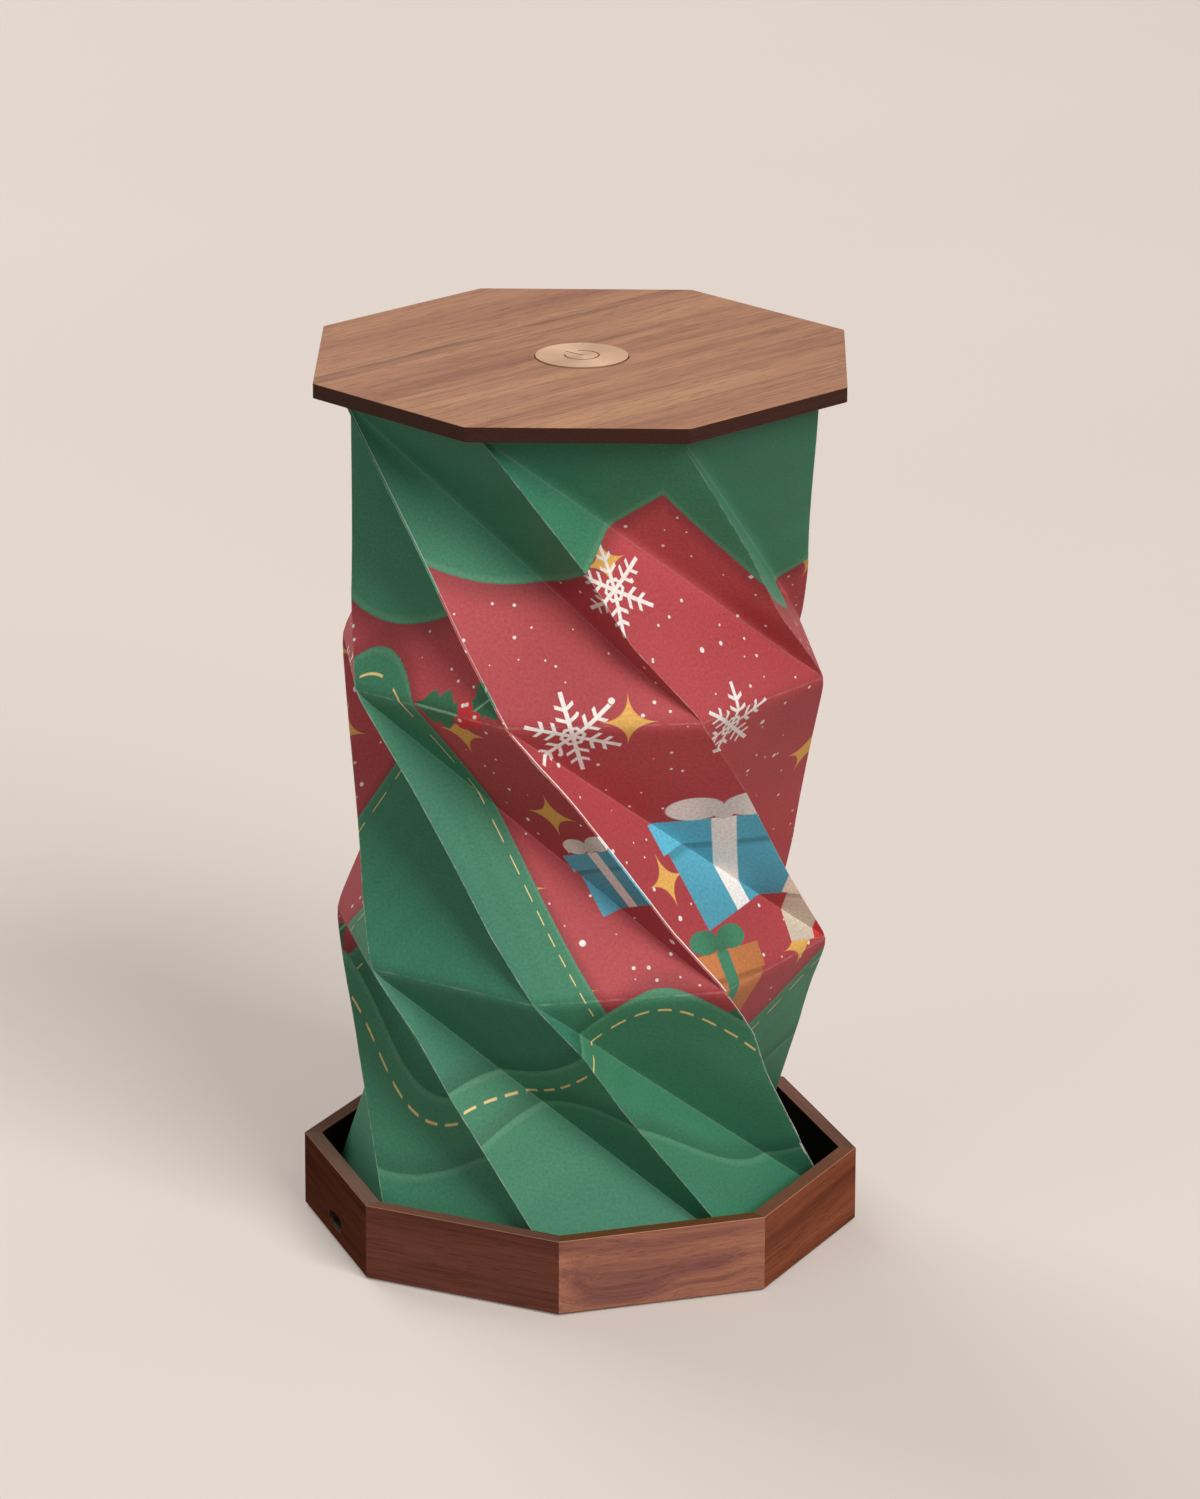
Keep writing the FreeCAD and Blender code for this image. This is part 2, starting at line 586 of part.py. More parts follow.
# Switch under the button, in a housing screwed to the lid
TACT_TOP = f"({STEM_BOTTOM} - Sizes.tact_below_stem)"
SWITCH_BOARD_TOP = f"({TACT_TOP} - Sizes.tact_height)"
SWITCH_BOARD_BOTTOM = f"({SWITCH_BOARD_TOP} - Sizes.switch_board_thickness)"
HOUSING_FLOOR_TOP = f"({SWITCH_BOARD_BOTTOM} - Sizes.board_ledge_height)"
HOUSING_BOTTOM = f"({HOUSING_FLOOR_TOP} - Sizes.housing_floor)"
plunger = cylinder("plunger", "Sizes.plunger_radius", "Sizes.plunger_length",
                   f"{STEM_BOTTOM} - Sizes.plunger_length")
piece("switch_plunger", plunger)
tact = block("tact_blank", "Sizes.tact_side", "Sizes.tact_side", "Sizes.tact_height", "0", "0",
             SWITCH_BOARD_TOP)
tact_bore = cylinder("tact_bore", "Sizes.plunger_radius + Sizes.plunger_clearance",
                     "Sizes.plunger_bore + Sizes.overrun", f"{TACT_TOP} - Sizes.plunger_bore")
piece("tact_switch", cut("tact_cut", tact, tact_bore))
piece("switch_board", cylinder("switch_disc", "Sizes.switch_board_radius", "Sizes.switch_board_thickness",
                               SWITCH_BOARD_BOTTOM))

HOUSING_INSIDE = "(Sizes.switch_board_radius + Sizes.switch_board_clearance)"
housing_top = f"{LID_LEVEL} - Sizes.housing_flange_thickness"
cup = cylinder("housing_cup", f"{HOUSING_INSIDE} + Sizes.housing_wall", f"{LID_LEVEL} - {HOUSING_BOTTOM}",
               HOUSING_BOTTOM)
brim = cylinder("housing_brim", "Sizes.housing_flange_radius", "Sizes.housing_flange_thickness", housing_top)
cup_room = cylinder("housing_room", HOUSING_INSIDE, f"{LID_LEVEL} - {SWITCH_BOARD_BOTTOM} + Sizes.overrun",
                    SWITCH_BOARD_BOTTOM)
cup_recess = cylinder("housing_recess", f"{HOUSING_INSIDE} - Sizes.board_ledge_width",
                      "Sizes.board_ledge_height + Sizes.overrun", HOUSING_FLOOR_TOP)
LEAD_BELOW_LID = "(Sizes.paper_thickness + Sizes.lead_radius)"
lead_lid_turn = f"({LEAD_TURN} + {LID_TURN})"
door_length = f"Sizes.housing_flange_radius + Sizes.overrun - {HOUSING_INSIDE} + Sizes.housing_wall"
door_middle = f"(Sizes.housing_flange_radius + Sizes.overrun - ({door_length}) / 2)"
lead_room = "2 * (Sizes.lead_radius + Sizes.lead_gap)"
lead_door = block("housing_lead_door", door_length, lead_room,
                  f"{LEAD_BELOW_LID} + Sizes.lead_radius + Sizes.lead_gap + Sizes.overrun",
                  f"{door_middle} * cos({lead_lid_turn})", f"{door_middle} * sin({lead_lid_turn})",
                  f"{LID_LEVEL} - {LEAD_BELOW_LID} - Sizes.lead_radius - Sizes.lead_gap", lead_lid_turn)
housing_holes = []
housing_screws = []
for index, (x, y) in enumerate(housing_spots):
    turned_x = f"({x}) * cos({LID_TURN}) - ({y}) * sin({LID_TURN})"
    turned_y = f"({x}) * sin({LID_TURN}) + ({y}) * cos({LID_TURN})"
    housing_holes.append(cylinder(f"housing_hole_{index}", small_hole,
                                  "Sizes.housing_flange_thickness + 2 * Sizes.overrun",
                                  f"{housing_top} - Sizes.overrun", turned_x, turned_y))
    shank = cylinder(f"housing_shank_{index}", "Sizes.small_screw_radius",
                     "Sizes.housing_flange_thickness + Sizes.small_screw_bite", housing_top,
                     turned_x, turned_y)
    head = cylinder(f"housing_head_{index}", "Sizes.small_screw_head_radius", "Sizes.small_screw_head_height",
                    f"{housing_top} - Sizes.small_screw_head_height", turned_x, turned_y)
    housing_screws.append(fuse(f"housing_screw_{index}", shank, head))
housing = fuse("housing_solid", cup, brim)
piece("button_housing", cut("housing", housing, cup_room, cup_recess, lead_door, *housing_holes))
piece("housing_screws", group("housing_screw_set", housing_screws))


# Shade: four rings of corners, each turned from the next, joined by folded triangles
def ring(level, inset, lift):
    """Corners of one ring, counted from the deck up, set in towards the axis and lifted."""
    tiers = ["Sizes.lower_tier", "Sizes.middle_tier", "Sizes.upper_tier"]
    height = number(" + ".join([DECK_TOP] + tiers[:level])) + lift
    radius = number(SHADE_RADIUS) - inset
    turn = HALF_SIDE - level * number("Sizes.twist_per_tier")
    corners = []
    for index in range(SIDES):
        angle = math.radians(turn + index * STEP)
        corners.append(FreeCAD.Vector(radius * math.cos(angle), radius * math.sin(angle), height))
    return corners


def face(*corners):
    return Part.Face(Part.makePolygon(list(corners) + [corners[0]]))


def folded_wall(rings):
    """Each upper corner joins the lower corner below it by a ridge and the next one by a valley."""
    faces = []
    for lower, upper in zip(rings, rings[1:]):
        for index in range(SIDES):
            after = (index + 1) % SIDES
            faces.append(face(upper[index], lower[index], lower[after]))
            faces.append(face(upper[index], lower[after], upper[after]))
    return faces


def flat_band(outer, inner):
    """Flat strip between two rings at one level."""
    return [face(outer[i], outer[(i + 1) % SIDES], inner[(i + 1) % SIDES], inner[i]) for i in range(SIDES)]


paper = number("Sizes.paper_thickness")
corner_share = math.cos(math.radians(HALF_SIDE))
skin = paper / corner_share
hem = number("Sizes.hem_width") / corner_share
outside_rings = [ring(level, 0, 0) for level in range(TIERS + 1)]
inside_rings = [ring(0, skin, paper), ring(1, skin, 0), ring(2, skin, 0), ring(TIERS, skin, -paper)]
bottom_hem = [ring(0, hem, 0), ring(0, hem, paper)]
top_hem = [ring(TIERS, hem, 0), ring(TIERS, hem, -paper)]
faces = folded_wall(outside_rings) + folded_wall(inside_rings)
faces += flat_band(outside_rings[0], bottom_hem[0]) + flat_band(inside_rings[0], bottom_hem[1])
faces += flat_band(outside_rings[TIERS], top_hem[0]) + flat_band(inside_rings[TIERS], top_hem[1])
for near, far in (bottom_hem, top_hem):
    faces += [face(near[i], near[(i + 1) % SIDES], far[(i + 1) % SIDES], far[i]) for i in range(SIDES)]
sewn = Part.Shell(faces)
sewn.sewShape()
shade_solid = Part.Solid(sewn)
if shade_solid.Volume < 0:
    shade_solid.reverse()
shade = doc.addObject("Part::Feature", "shade")
shade.Shape = shade_solid
piece("paper_shade", shade)


# Switch lead: along the deck, up one ridge of the shade and in under the lid
def lead_along(points):
    """Round lead through these points, mitred where it turns."""
    start = Part.Wire([Part.makeCircle(lead, points[0], points[1].sub(points[0]))])
    solid = True
    frenet = False
    right_corners = 1
    return Part.makePolygon(points).makePipeShell([start], solid, frenet, right_corners)


lead = number("Sizes.lead_radius")
lead_gap = number("Sizes.lead_gap")
lead_inset = number("Sizes.lead_inset")
lead_width = 2 * lead
end_lift = paper + lead_width + lead + lead_gap
climb = [
    ring(0, lead_inset, end_lift)[LEAD_CORNER],
    ring(1, lead_inset, 0)[LEAD_CORNER],
    ring(2, lead_inset, 0)[LEAD_CORNER],
    ring(TIERS, lead_inset, -end_lift)[LEAD_CORNER],
]
shade_lead = doc.addObject("Part::Feature", "shade_lead_tube")
shade_lead.Shape = lead_along(climb)
piece("shade_lead", shade_lead)

deck_start = ring(0, lead_inset, paper + lead)[LEAD_CORNER]
deck_turn = FreeCAD.Vector(number(lead_x), number(lead_y), deck_start.z)
plug_top = number(f"{USB_LEVEL} + Sizes.plug_height")
deck_end = FreeCAD.Vector(deck_turn.x, deck_turn.y, plug_top)
base_lead = doc.addObject("Part::Feature", "base_lead_tube")
base_lead.Shape = lead_along([deck_start, deck_turn, deck_end])
piece("base_lead", base_lead)

lid_start = ring(TIERS, lead_inset, -paper - lead)[LEAD_CORNER]
lid_reach = number(HOUSING_INSIDE) / math.hypot(lid_start.x, lid_start.y)
lid_end = FreeCAD.Vector(lid_start.x * lid_reach, lid_start.y * lid_reach, lid_start.z)
lid_lead = doc.addObject("Part::Feature", "lid_lead_tube")
lid_lead.Shape = lead_along([lid_start, lid_end])
piece("lid_lead", lid_lead)

# Every object is checked before anything is written
doc.recompute()
for thing in doc.Objects:
    if "Invalid" in thing.State or "Error" in thing.State:
        raise RuntimeError(f"{thing.Name} failed to build: {thing.State}")
for thing in pieces:
    if thing.Shape.isNull() or not thing.Shape.isValid():
        raise RuntimeError(f"{thing.Label} has no valid shape")

os.makedirs("parts", exist_ok=True)
for thing in pieces:
    thing.Shape.exportStep(f"parts/{thing.Label}.step")
    print(thing.Label, len(thing.Shape.Solids), round(thing.Shape.Volume, 1))
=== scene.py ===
import math

import bpy
from mathutils import Matrix, Vector, noise


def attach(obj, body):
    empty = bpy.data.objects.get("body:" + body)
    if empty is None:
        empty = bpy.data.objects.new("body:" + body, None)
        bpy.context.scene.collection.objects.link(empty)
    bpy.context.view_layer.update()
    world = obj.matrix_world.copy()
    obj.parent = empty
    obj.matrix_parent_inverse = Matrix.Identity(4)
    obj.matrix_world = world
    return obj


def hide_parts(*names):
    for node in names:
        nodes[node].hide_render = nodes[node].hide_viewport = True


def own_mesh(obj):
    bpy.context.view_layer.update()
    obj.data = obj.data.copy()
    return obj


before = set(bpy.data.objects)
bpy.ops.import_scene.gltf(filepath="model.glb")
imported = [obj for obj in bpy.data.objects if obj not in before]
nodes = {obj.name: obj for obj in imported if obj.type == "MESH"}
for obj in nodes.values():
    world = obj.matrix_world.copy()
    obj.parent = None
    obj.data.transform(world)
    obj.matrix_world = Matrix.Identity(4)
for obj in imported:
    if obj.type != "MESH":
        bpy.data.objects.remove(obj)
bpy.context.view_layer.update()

# Sizes in metres, the same as the solids have
MM = 0.001
SIDES = 8
TIERS = 3
STEP = math.radians(45.0)
HALF_STEP = STEP / 2
TWIST = math.radians(51.45)
DECK_TOP = 6.7 * MM
TIER_HEIGHTS = (65.8 * MM, 65.2 * MM, 67.7 * MM)
LID_UNDERSIDE = DECK_TOP + sum(TIER_HEIGHTS)
LID_TURN = -TIERS * TWIST
BUTTON_TOP = 209.2 * MM
SHADE_RADIUS = 58.3 * MM
PAPER = 0.4 * MM
HEM = 6.0 * MM
LEAD_RADIUS = 0.6 * MM
LEAD_INSET = 3.6 * MM
LEAD_LIFT = 2.5 * MM
LEAD_CORNER = 3
LEAD_BED = 1.0 * MM
LEAD_BEND = 0.7 * MM
LEAD_DROP = 33.0 * MM
PLUG_TOP = 4.9 * MM
HOUSING_INSIDE = 11.8 * MM

# The glued seam of the sheet runs along this ridge
SEAM_CORNER = 7
# Cuts along each edge of a coarse facet
FOLD_CUTS = 31
# One unit of the sheet's map is so many mm, and one unit of the fold map so many columns or levels
SHEET_SPAN = 500.0
FOLD_SPAN = 10.0
# Points closer than this, in metres, are the same
TOUCHING = 1e-6
# Most values of a noise lie between these
NOISE_LOW = 0.3
NOISE_HIGH = 0.7
# Edges sharper than this stay sharp on paper and lead
SHARP_ANGLE = math.radians(50)


def linear(red, green, blue):
    """A colour as a screen shows it, 0 to 255, as the shader wants it."""
    out = []
    for value in (red, green, blue):
        share = value / 255.0
        if share <= 0.04045:
            out.append(share / 12.92)
        else:
            out.append(((share + 0.055) / 1.055) ** 2.4)
    return (out[0], out[1], out[2], 1.0)


class Finish:
    """One node material and short ways to add the nodes it is made of."""

    def __init__(self, name):
        self.material = bpy.data.materials.new(name)
        self.material.use_nodes = True
        self.tree = self.material.node_tree
        self.tree.nodes.clear()
        self.output = self.tree.nodes.new("ShaderNodeOutputMaterial")
        self.shader = self.tree.nodes.new("ShaderNodeBsdfPrincipled")
        self.tree.links.new(self.shader.outputs["BSDF"], self.output.inputs["Surface"])

    def feed(self, socket, value):
        if isinstance(value, bpy.types.NodeSocket):
            self.tree.links.new(value, socket)
        else:
            socket.default_value = value

    def add(self, kind, **settings):
        node = self.tree.nodes.new(kind)
        for name, value in settings.items():
            setattr(node, name, value)
        return node

    def calc(self, operation, *values):
        node = self.add("ShaderNodeMath", operation=operation)
        for socket, value in zip(node.inputs, values):
            self.feed(socket, value)
        return node.outputs[0]

    def total(self, *values):
        out = values[0]
        for value in values[1:]:
            out = self.calc("ADD", out, value)
        return out

    def less(self, a, b):
        return self.calc("SUBTRACT", a, b)

    def times(self, a, b):
        return self.calc("MULTIPLY", a, b)

    def either(self, *values):
        out = values[0]
        for value in values[1:]:
            out = self.calc("MAXIMUM", out, value)
        return out

    def both(self, *values):
        out = values[0]
        for value in values[1:]:
            out = self.calc("MULTIPLY", out, value)
        return out

    def ramp(self, value, low, high, low_out=0.0, high_out=1.0, soft=True):
        node = self.add("ShaderNodeMapRange", interpolation_type="SMOOTHSTEP" if soft else "LINEAR")
        for socket, item in zip(node.inputs, (value, low, high, low_out, high_out)):
            self.feed(socket, item)
        return node.outputs[0]

    def grade(self, value, low_out=0.0, high_out=1.0, soft=True):
        """The middle values of a noise, spread over that range."""
        return self.ramp(value, NOISE_LOW, NOISE_HIGH, low_out, high_out, soft)

    def inside(self, value, limit, edge):
        """1 where the value is under the limit, with an edge that soft."""
        return self.ramp(value, limit - edge, limit + edge, 1.0, 0.0)

    def blend(self, share, first, second):
        node = self.add("ShaderNodeMix", data_type="RGBA", clamp_factor=True)
        self.feed(node.inputs[0], share)
        self.feed(node.inputs[6], first)
        self.feed(node.inputs[7], second)
        return node.outputs[2]

    def shade_by(self, share, colour):
        """The colour times a grey value."""
        node = self.add("ShaderNodeVectorMath", operation="SCALE")
        self.feed(node.inputs[0], colour[:3] if isinstance(colour, tuple) else colour)
        self.feed(node.inputs["Scale"], share)
        return node.outputs[0]

    def place(self):
        return self.add("ShaderNodeTexCoord").outputs["Object"]

    def normal(self):
        return self.add("ShaderNodeNewGeometry").outputs["True Normal"]

    def sheet(self, name):
        return self.add("ShaderNodeUVMap", uv_map=name).outputs[0]

    def split(self, vector):
        node = self.add("ShaderNodeSeparateXYZ")
        self.feed(node.inputs[0], vector)
        return node.outputs[0], node.outputs[1], node.outputs[2]

    def join(self, x, y, z=0.0):
        node = self.add("ShaderNodeCombineXYZ")
        for socket, value in zip(node.inputs, (x, y, z)):
            self.feed(socket, value)
        return node.outputs[0]

    def turned(self, vector, turn, scale=(1.0, 1.0, 1.0), shift=(0.0, 0.0, 0.0)):
        """The place turned back about Z, and then stretched."""
        spin = self.add("ShaderNodeMapping", vector_type="POINT")
        self.feed(spin.inputs["Vector"], vector)
        spin.inputs["Rotation"].default_value = (0.0, 0.0, -turn)
        stretch = self.add("ShaderNodeMapping", vector_type="POINT")
        self.feed(stretch.inputs["Vector"], spin.outputs[0])
        stretch.inputs["Scale"].default_value = scale
        stretch.inputs["Location"].default_value = shift
        return stretch.outputs[0]

    def cloud(self, vector, scale, detail=3.0, rough=0.5, wander=0.0):
        node = self.add("ShaderNodeTexNoise")
        self.feed(node.inputs["Vector"], vector)
        node.inputs["Scale"].default_value = scale
        node.inputs["Detail"].default_value = detail
        node.inputs["Roughness"].default_value = rough
        node.inputs["Distortion"].default_value = wander
        return node.outputs[0]

    def draw(self, vector):
        """Three even random numbers for each whole-number place."""
        node = self.add("ShaderNodeTexWhiteNoise", noise_dimensions="3D")
        self.feed(node.inputs["Vector"], vector)
        return self.split(node.outputs["Color"])

    def bump(self, height, distance, strength=1.0):
        node = self.add("ShaderNodeBump")
        node.inputs["Strength"].default_value = strength
        node.inputs["Distance"].default_value = distance
        self.feed(node.inputs["Height"], height)
        self.feed(self.shader.inputs["Normal"], node.outputs[0])

    def set(self, **values):
        """Sockets of the shader by name, with _ for a space."""
        for name, value in values.items():
            self.feed(self.shader.inputs[name.replace("_", " ")], value)


# Folded shade


def ring_point(level, corner, inset=0.0, lift=0.0):
    """One corner of the shade, counted from the deck up."""
    angle = HALF_STEP - level * TWIST + corner * STEP
    radius = SHADE_RADIUS - inset
    height = DECK_TOP + sum(TIER_HEIGHTS[:level]) + lift
    return Vector((radius * math.cos(angle), radius * math.sin(angle), height))


def flat_tier(tier):
    """Side, sideways lean and height of one tier's panels when the sheet lies flat, in mm."""
    ridge = (ring_point(tier + 1, 0) - ring_point(tier, 0)).length / MM
    valley = (ring_point(tier + 1, 0) - ring_point(tier, 1)).length / MM
    side = (ring_point(0, 1) - ring_point(0, 0)).length / MM
    lean = (valley ** 2 - ridge ** 2 - side ** 2) / (2 * side)
    return side, lean, math.sqrt(ridge ** 2 - lean ** 2)


def sheet_place(column, level):
    """Where a corner lies on the flat sheet, in mm, with level counted from the deck."""
    across = 0.0
    up = 0.0
    for tier in range(TIERS):
        side, lean, height = flat_tier(tier)
        if tier < level:
            up += height
        else:
            across += lean
    return column * side + across, up


def choose(thing):
    """Makes this the one selected object and the active one."""
    bpy.ops.object.select_all(action="DESELECT")
    bpy.context.view_layer.objects.active = thing
    thing.select_set(True)


def start_edit(thing, whole=False):
    choose(thing)
    bpy.ops.object.mode_set(mode="EDIT")
    if whole:
        bpy.ops.mesh.select_all(action="SELECT")


def end_edit():
    bpy.ops.object.mode_set(mode="OBJECT")


def apply_modifier(thing, modifier):
    choose(thing)
    bpy.ops.object.modifier_apply(modifier=modifier.name)


def settle(thing):
    """Moves the object's place, turn and scale into its mesh."""
    choose(thing)
    bpy.ops.object.transform_apply(location=True, rotation=True, scale=True)


def corner_of(place):
    """Level and corner number of a point of the coarse shade."""
    level = min(range(TIERS + 1), key=lambda n: abs(ring_point(n, 0).z - place.z))
    turn = math.atan2(place.y, place.x) - HALF_STEP + level * TWIST
    return level, round(turn / STEP) % SIDES


def map_panels(mesh):
    """Gives the coarse panels their place on the flat sheet and their fold numbers."""
    sheet = mesh.uv_layers.new(name="Sheet")
    folds = mesh.uv_layers.new(name="Folds")
    for polygon in mesh.polygons:
        found = [corner_of(mesh.vertices[i].co) for i in polygon.vertices]
        numbers = {corner for level, corner in found}
        if numbers == {0, SIDES - 1}:
            first = SIDES - 1
        else:
            first = min(numbers)
        panel = (first - SEAM_CORNER) % SIDES
        for loop, (level, corner) in zip(polygon.loop_indices, found):
            column = panel + (0 if corner == first else 1)
            across, up = sheet_place(column, level)
            sheet.data[loop].uv = (across / SHEET_SPAN, up / SHEET_SPAN)
            folds.data[loop].uv = (column / FOLD_SPAN, level / FOLD_SPAN)


def fold_places(mesh):
    """Column and level of every vertex of the fine sheet."""
    layer = mesh.uv_layers["Folds"].data
    places = {}
    for loop in mesh.loops:
        spot = layer[loop.index].uv
        places[loop.vertex_index] = (spot.x * FOLD_SPAN, spot.y * FOLD_SPAN)
    return places


def fold_sheet():
    bpy.ops.object.select_all(action="DESELECT")
    bpy.ops.mesh.primitive_circle_add(
        vertices=SIDES, radius=SHADE_RADIUS, fill_type="NOTHING", location=(0, 0, DECK_TOP),
        rotation=(0, 0, HALF_STEP))
    shade = bpy.context.object
    shade.name = "folded_shade"
    shade.data.name = "folded_shade"
    settle(shade)
    start_edit(shade, whole=True)
    for height in TIER_HEIGHTS:
        bpy.ops.mesh.extrude_region_move(TRANSFORM_OT_translate={"value": (0, 0, height)})
        bpy.ops.transform.rotate(value=TWIST, orient_axis="Z", center_override=(0, 0, 0))
    bpy.ops.mesh.select_all(action="SELECT")
    bpy.ops.mesh.quads_convert_to_tris(quad_method="LONGEST_DIAGONAL")
    bpy.ops.mesh.normals_make_consistent(inside=False)
    end_edit()
    first = shade.data.polygons[0]
    if first.normal.dot(Vector((first.center.x, first.center.y, 0))) < 0:
        start_edit(shade, whole=True)
        bpy.ops.mesh.flip_normals()
        end_edit()
    map_panels(shade.data)
    start_edit(shade, whole=True)
    bpy.ops.mesh.subdivide(number_cuts=FOLD_CUTS)
    end_edit()
    return shade


def facet_draw(column, tier, upper, salt):
    """A random number from -1 to 1 for one facet, the same at every run."""
    across = column * COLUMN_STRIDE + salt * SALT_STRIDE
    spot = Vector((across, tier * TIER_STRIDE + salt, UPPER_PLACE if upper else LOWER_PLACE))
    return noise.noise(spot * FACET_SCALE)


def near_fold(gap, reach):
    """1 on a fold, falling off over that reach, both in mm."""
    return math.exp(-(gap / reach) ** 2)


def work_folds(shade):
    """Bows the facets a little, kinks the ridges and marks how soft each fold is."""
    mesh = shade.data
    places = fold_places(mesh)
    normals = [vertex.normal.copy() for vertex in mesh.vertices]
    soft = shade.vertex_groups.new(name="soft_folds")
    slack = shade.vertex_groups.new(name="slack_valleys")
    for vertex in mesh.vertices:
        column, level = places[vertex.index]
        tier = min(int(level), TIERS - 1)
        rise = level - tier
        panel = min(int(column), SIDES - 1)
        along = column - panel
        ridge_gap = min(along, 1 - along) * RIDGE_SPACING
        valley_gap = abs(along + rise - 1) * VALLEY_SPACING
        ring_gap = min(rise, 1 - rise) * TIER_FLAT_HEIGHT
        upper = along + rise > 1
        if upper:
            shares = (along + rise - 1, 1 - along, 1 - rise)
        else:
            shares = (1 - along - rise, along, rise)
        bubble = BUBBLE_PEAK * shares[0] * shares[1] * shares[2]
        bow = BOW * facet_draw(panel, tier, upper, 1.0) * bubble
        ridge = round(column) % SIDES
        vigour = VIGOUR + VIGOUR_SPREAD * facet_draw(ridge, tier, True, 3.0)
        slip = 0.0
        for middle, reach, size in WANDERS[tier]:
            slip += size * max(0.0, 1 - abs(rise - middle) / reach)
        slip *= vigour * near_fold(ridge_gap, STRAY_REACH)
        if ridge == 0 and tier == TIERS - 1:
            slip *= SEAM_STRAY
        side = Vector((-vertex.co.y, vertex.co.x, 0)).normalized()
        inner = min(level, TIERS - level)
        hold = min(1.0, inner / HELD_LEVELS)
        ripple = RIPPLE * noise.noise(vertex.co * RIPPLE_SCALE)
        vertex.co += (normals[vertex.index] * (bow + ripple) + side * slip) * (hold * MM)
        if inner > SOFT_MARGIN:
            folds = [(VALLEY_SOFT, valley_gap), (RIDGE_SOFT, ridge_gap)]
            if 0.5 < level < TIERS - 0.5:
                folds.append((RING_SOFT, ring_gap))
            weight = max(share * near_fold(gap, reach) for (share, reach), gap in folds)
            soft.add([vertex.index], weight, "REPLACE")
        if tier == TIERS - 1 and inner > SLACK_MARGIN:
            loose = min(1.0, rise / SLACK_RISE) * near_fold(valley_gap, SLACK_REACH)
            firm = 1 - near_fold(ridge_gap, SLACK_REACH)
            slack.add([vertex.index], loose * firm, "REPLACE")
    for group, rounds in ((soft, SOFT_ROUNDS), (slack, SLACK_ROUNDS)):
        smooth = shade.modifiers.new("soften", "SMOOTH")
        smooth.factor = SMOOTH_FACTOR
        smooth.iterations = rounds
        smooth.vertex_group = group.name
        apply_modifier(shade, smooth)
    shade.vertex_groups.clear()


def first_column(mesh):
    """Faces of the sheet's first narrow strip, beside the seam."""
    layer = mesh.uv_layers["Folds"].data
    chosen = []
    for polygon in mesh.polygons:
        spots = [layer[i].uv * FOLD_SPAN for i in polygon.loop_indices]
        column = sum(s.x for s in spots) / len(spots)
        level = sum(s.y for s in spots) / len(spots)
        rise = level - int(level)
        if column < 1 / (FOLD_CUTS + 1) and column + rise < 1:
            chosen.append(polygon.index)
    return chosen


def lift_flap(shade):
    """The sheet's other edge, lapped over the seam ridge."""
    chosen = first_column(shade.data)
    start_edit(shade)
    bpy.ops.mesh.select_mode(type="FACE")
    bpy.ops.mesh.select_all(action="DESELECT")
    end_edit()
    for index in chosen:
        shade.data.polygons[index].select = True
    start_edit(shade)
    bpy.ops.mesh.duplicate()
    bpy.ops.mesh.separate(type="SELECTED")
    end_edit()
    flap = [thing for thing in bpy.context.selected_objects if thing is not shade][0]
    flap.name = "seam_flap"
    flap.data.name = "seam_flap"
    mesh = flap.data
    places = fold_places(mesh)
    middle = {}
    for index, (column, level) in places.items():
        if column < SEAM_COLUMN:
            middle[round(level * (FOLD_CUTS + 1))] = mesh.vertices[index].co.copy()
    for index, (column, level) in places.items():
        vertex = mesh.vertices[index]
        if column > SEAM_COLUMN:
            home = middle.get(round(level * (FOLD_CUTS + 1)))
            tight = FLAP_TIGHT if level > TIERS - 1 else 1.0
            uneven = 1.0 + FLAP_UNEVEN * noise.noise(vertex.co * FLAP_SCALE)
            out = vertex.normal * (FLAP_LIFT * tight * uneven)
            if home is not None:
                vertex.co = home.lerp(vertex.co, FLAP_SHARE)
            vertex.co += out
    sheet_width = SIDES * flat_tier(0)[0]
    for layer, shift in (("Folds", SIDES / FOLD_SPAN), ("Sheet", sheet_width / SHEET_SPAN)):
        for item in mesh.uv_layers[layer].data:
            item.uv = (item.uv.x + shift, item.uv.y)
    return flap


def turn_hems(shade):
    """Glue hems at the deck and under the lid, folded in level."""
    for height in (DECK_TOP, LID_UNDERSIDE):
        start_edit(shade)
        bpy.ops.mesh.select_mode(type="EDGE")
        bpy.ops.mesh.select_all(action="DESELECT")
        end_edit()
        for line in shade.data.edges:
            ends = [shade.data.vertices[i].co.z for i in line.vertices]
            line.select = max(abs(z - height) for z in ends) < TOUCHING
        start_edit(shade)
        bpy.ops.mesh.extrude_region_move()
        share = (SHADE_RADIUS - HEM / math.cos(HALF_STEP)) / SHADE_RADIUS
        bpy.ops.transform.resize(value=(share, share, 1), center_override=(0, 0, height))
        end_edit()


def thicken(thing, thickness):
    wall = thing.modifiers.new("wall", "SOLIDIFY")
    wall.thickness = thickness
    wall.offset = -1
    wall.material_offset = 1
    wall.material_offset_rim = 1
    apply_modifier(thing, wall)
    bpy.ops.object.shade_smooth_by_angle(angle=SHARP_ANGLE)


# Print of the shade


def lattice(f, u, v, width, height, salt, jitter):
    """Place within a brick-laid cell, in mm, a random number for that cell and three more."""
    row = f.calc("FLOOR", f.calc("DIVIDE", v, height))
    odd = f.calc("MODULO", f.total(row, 100.0), 2.0)
    moved = f.total(u, f.times(odd, width / 2))
    column = f.calc("FLOOR", f.calc("DIVIDE", moved, width))
    first = f.draw(f.join(column, row, salt))
    second = f.draw(f.join(column, row, salt + 0.37))
    x = f.less(moved, f.times(f.total(column, 0.5), width))
    y = f.less(v, f.times(f.total(row, 0.5), height))
    x = f.less(x, f.times(f.less(first[0], 0.5), jitter))
    y = f.less(y, f.times(f.less(first[1], 0.5), jitter))
    return x, y, first[2], second


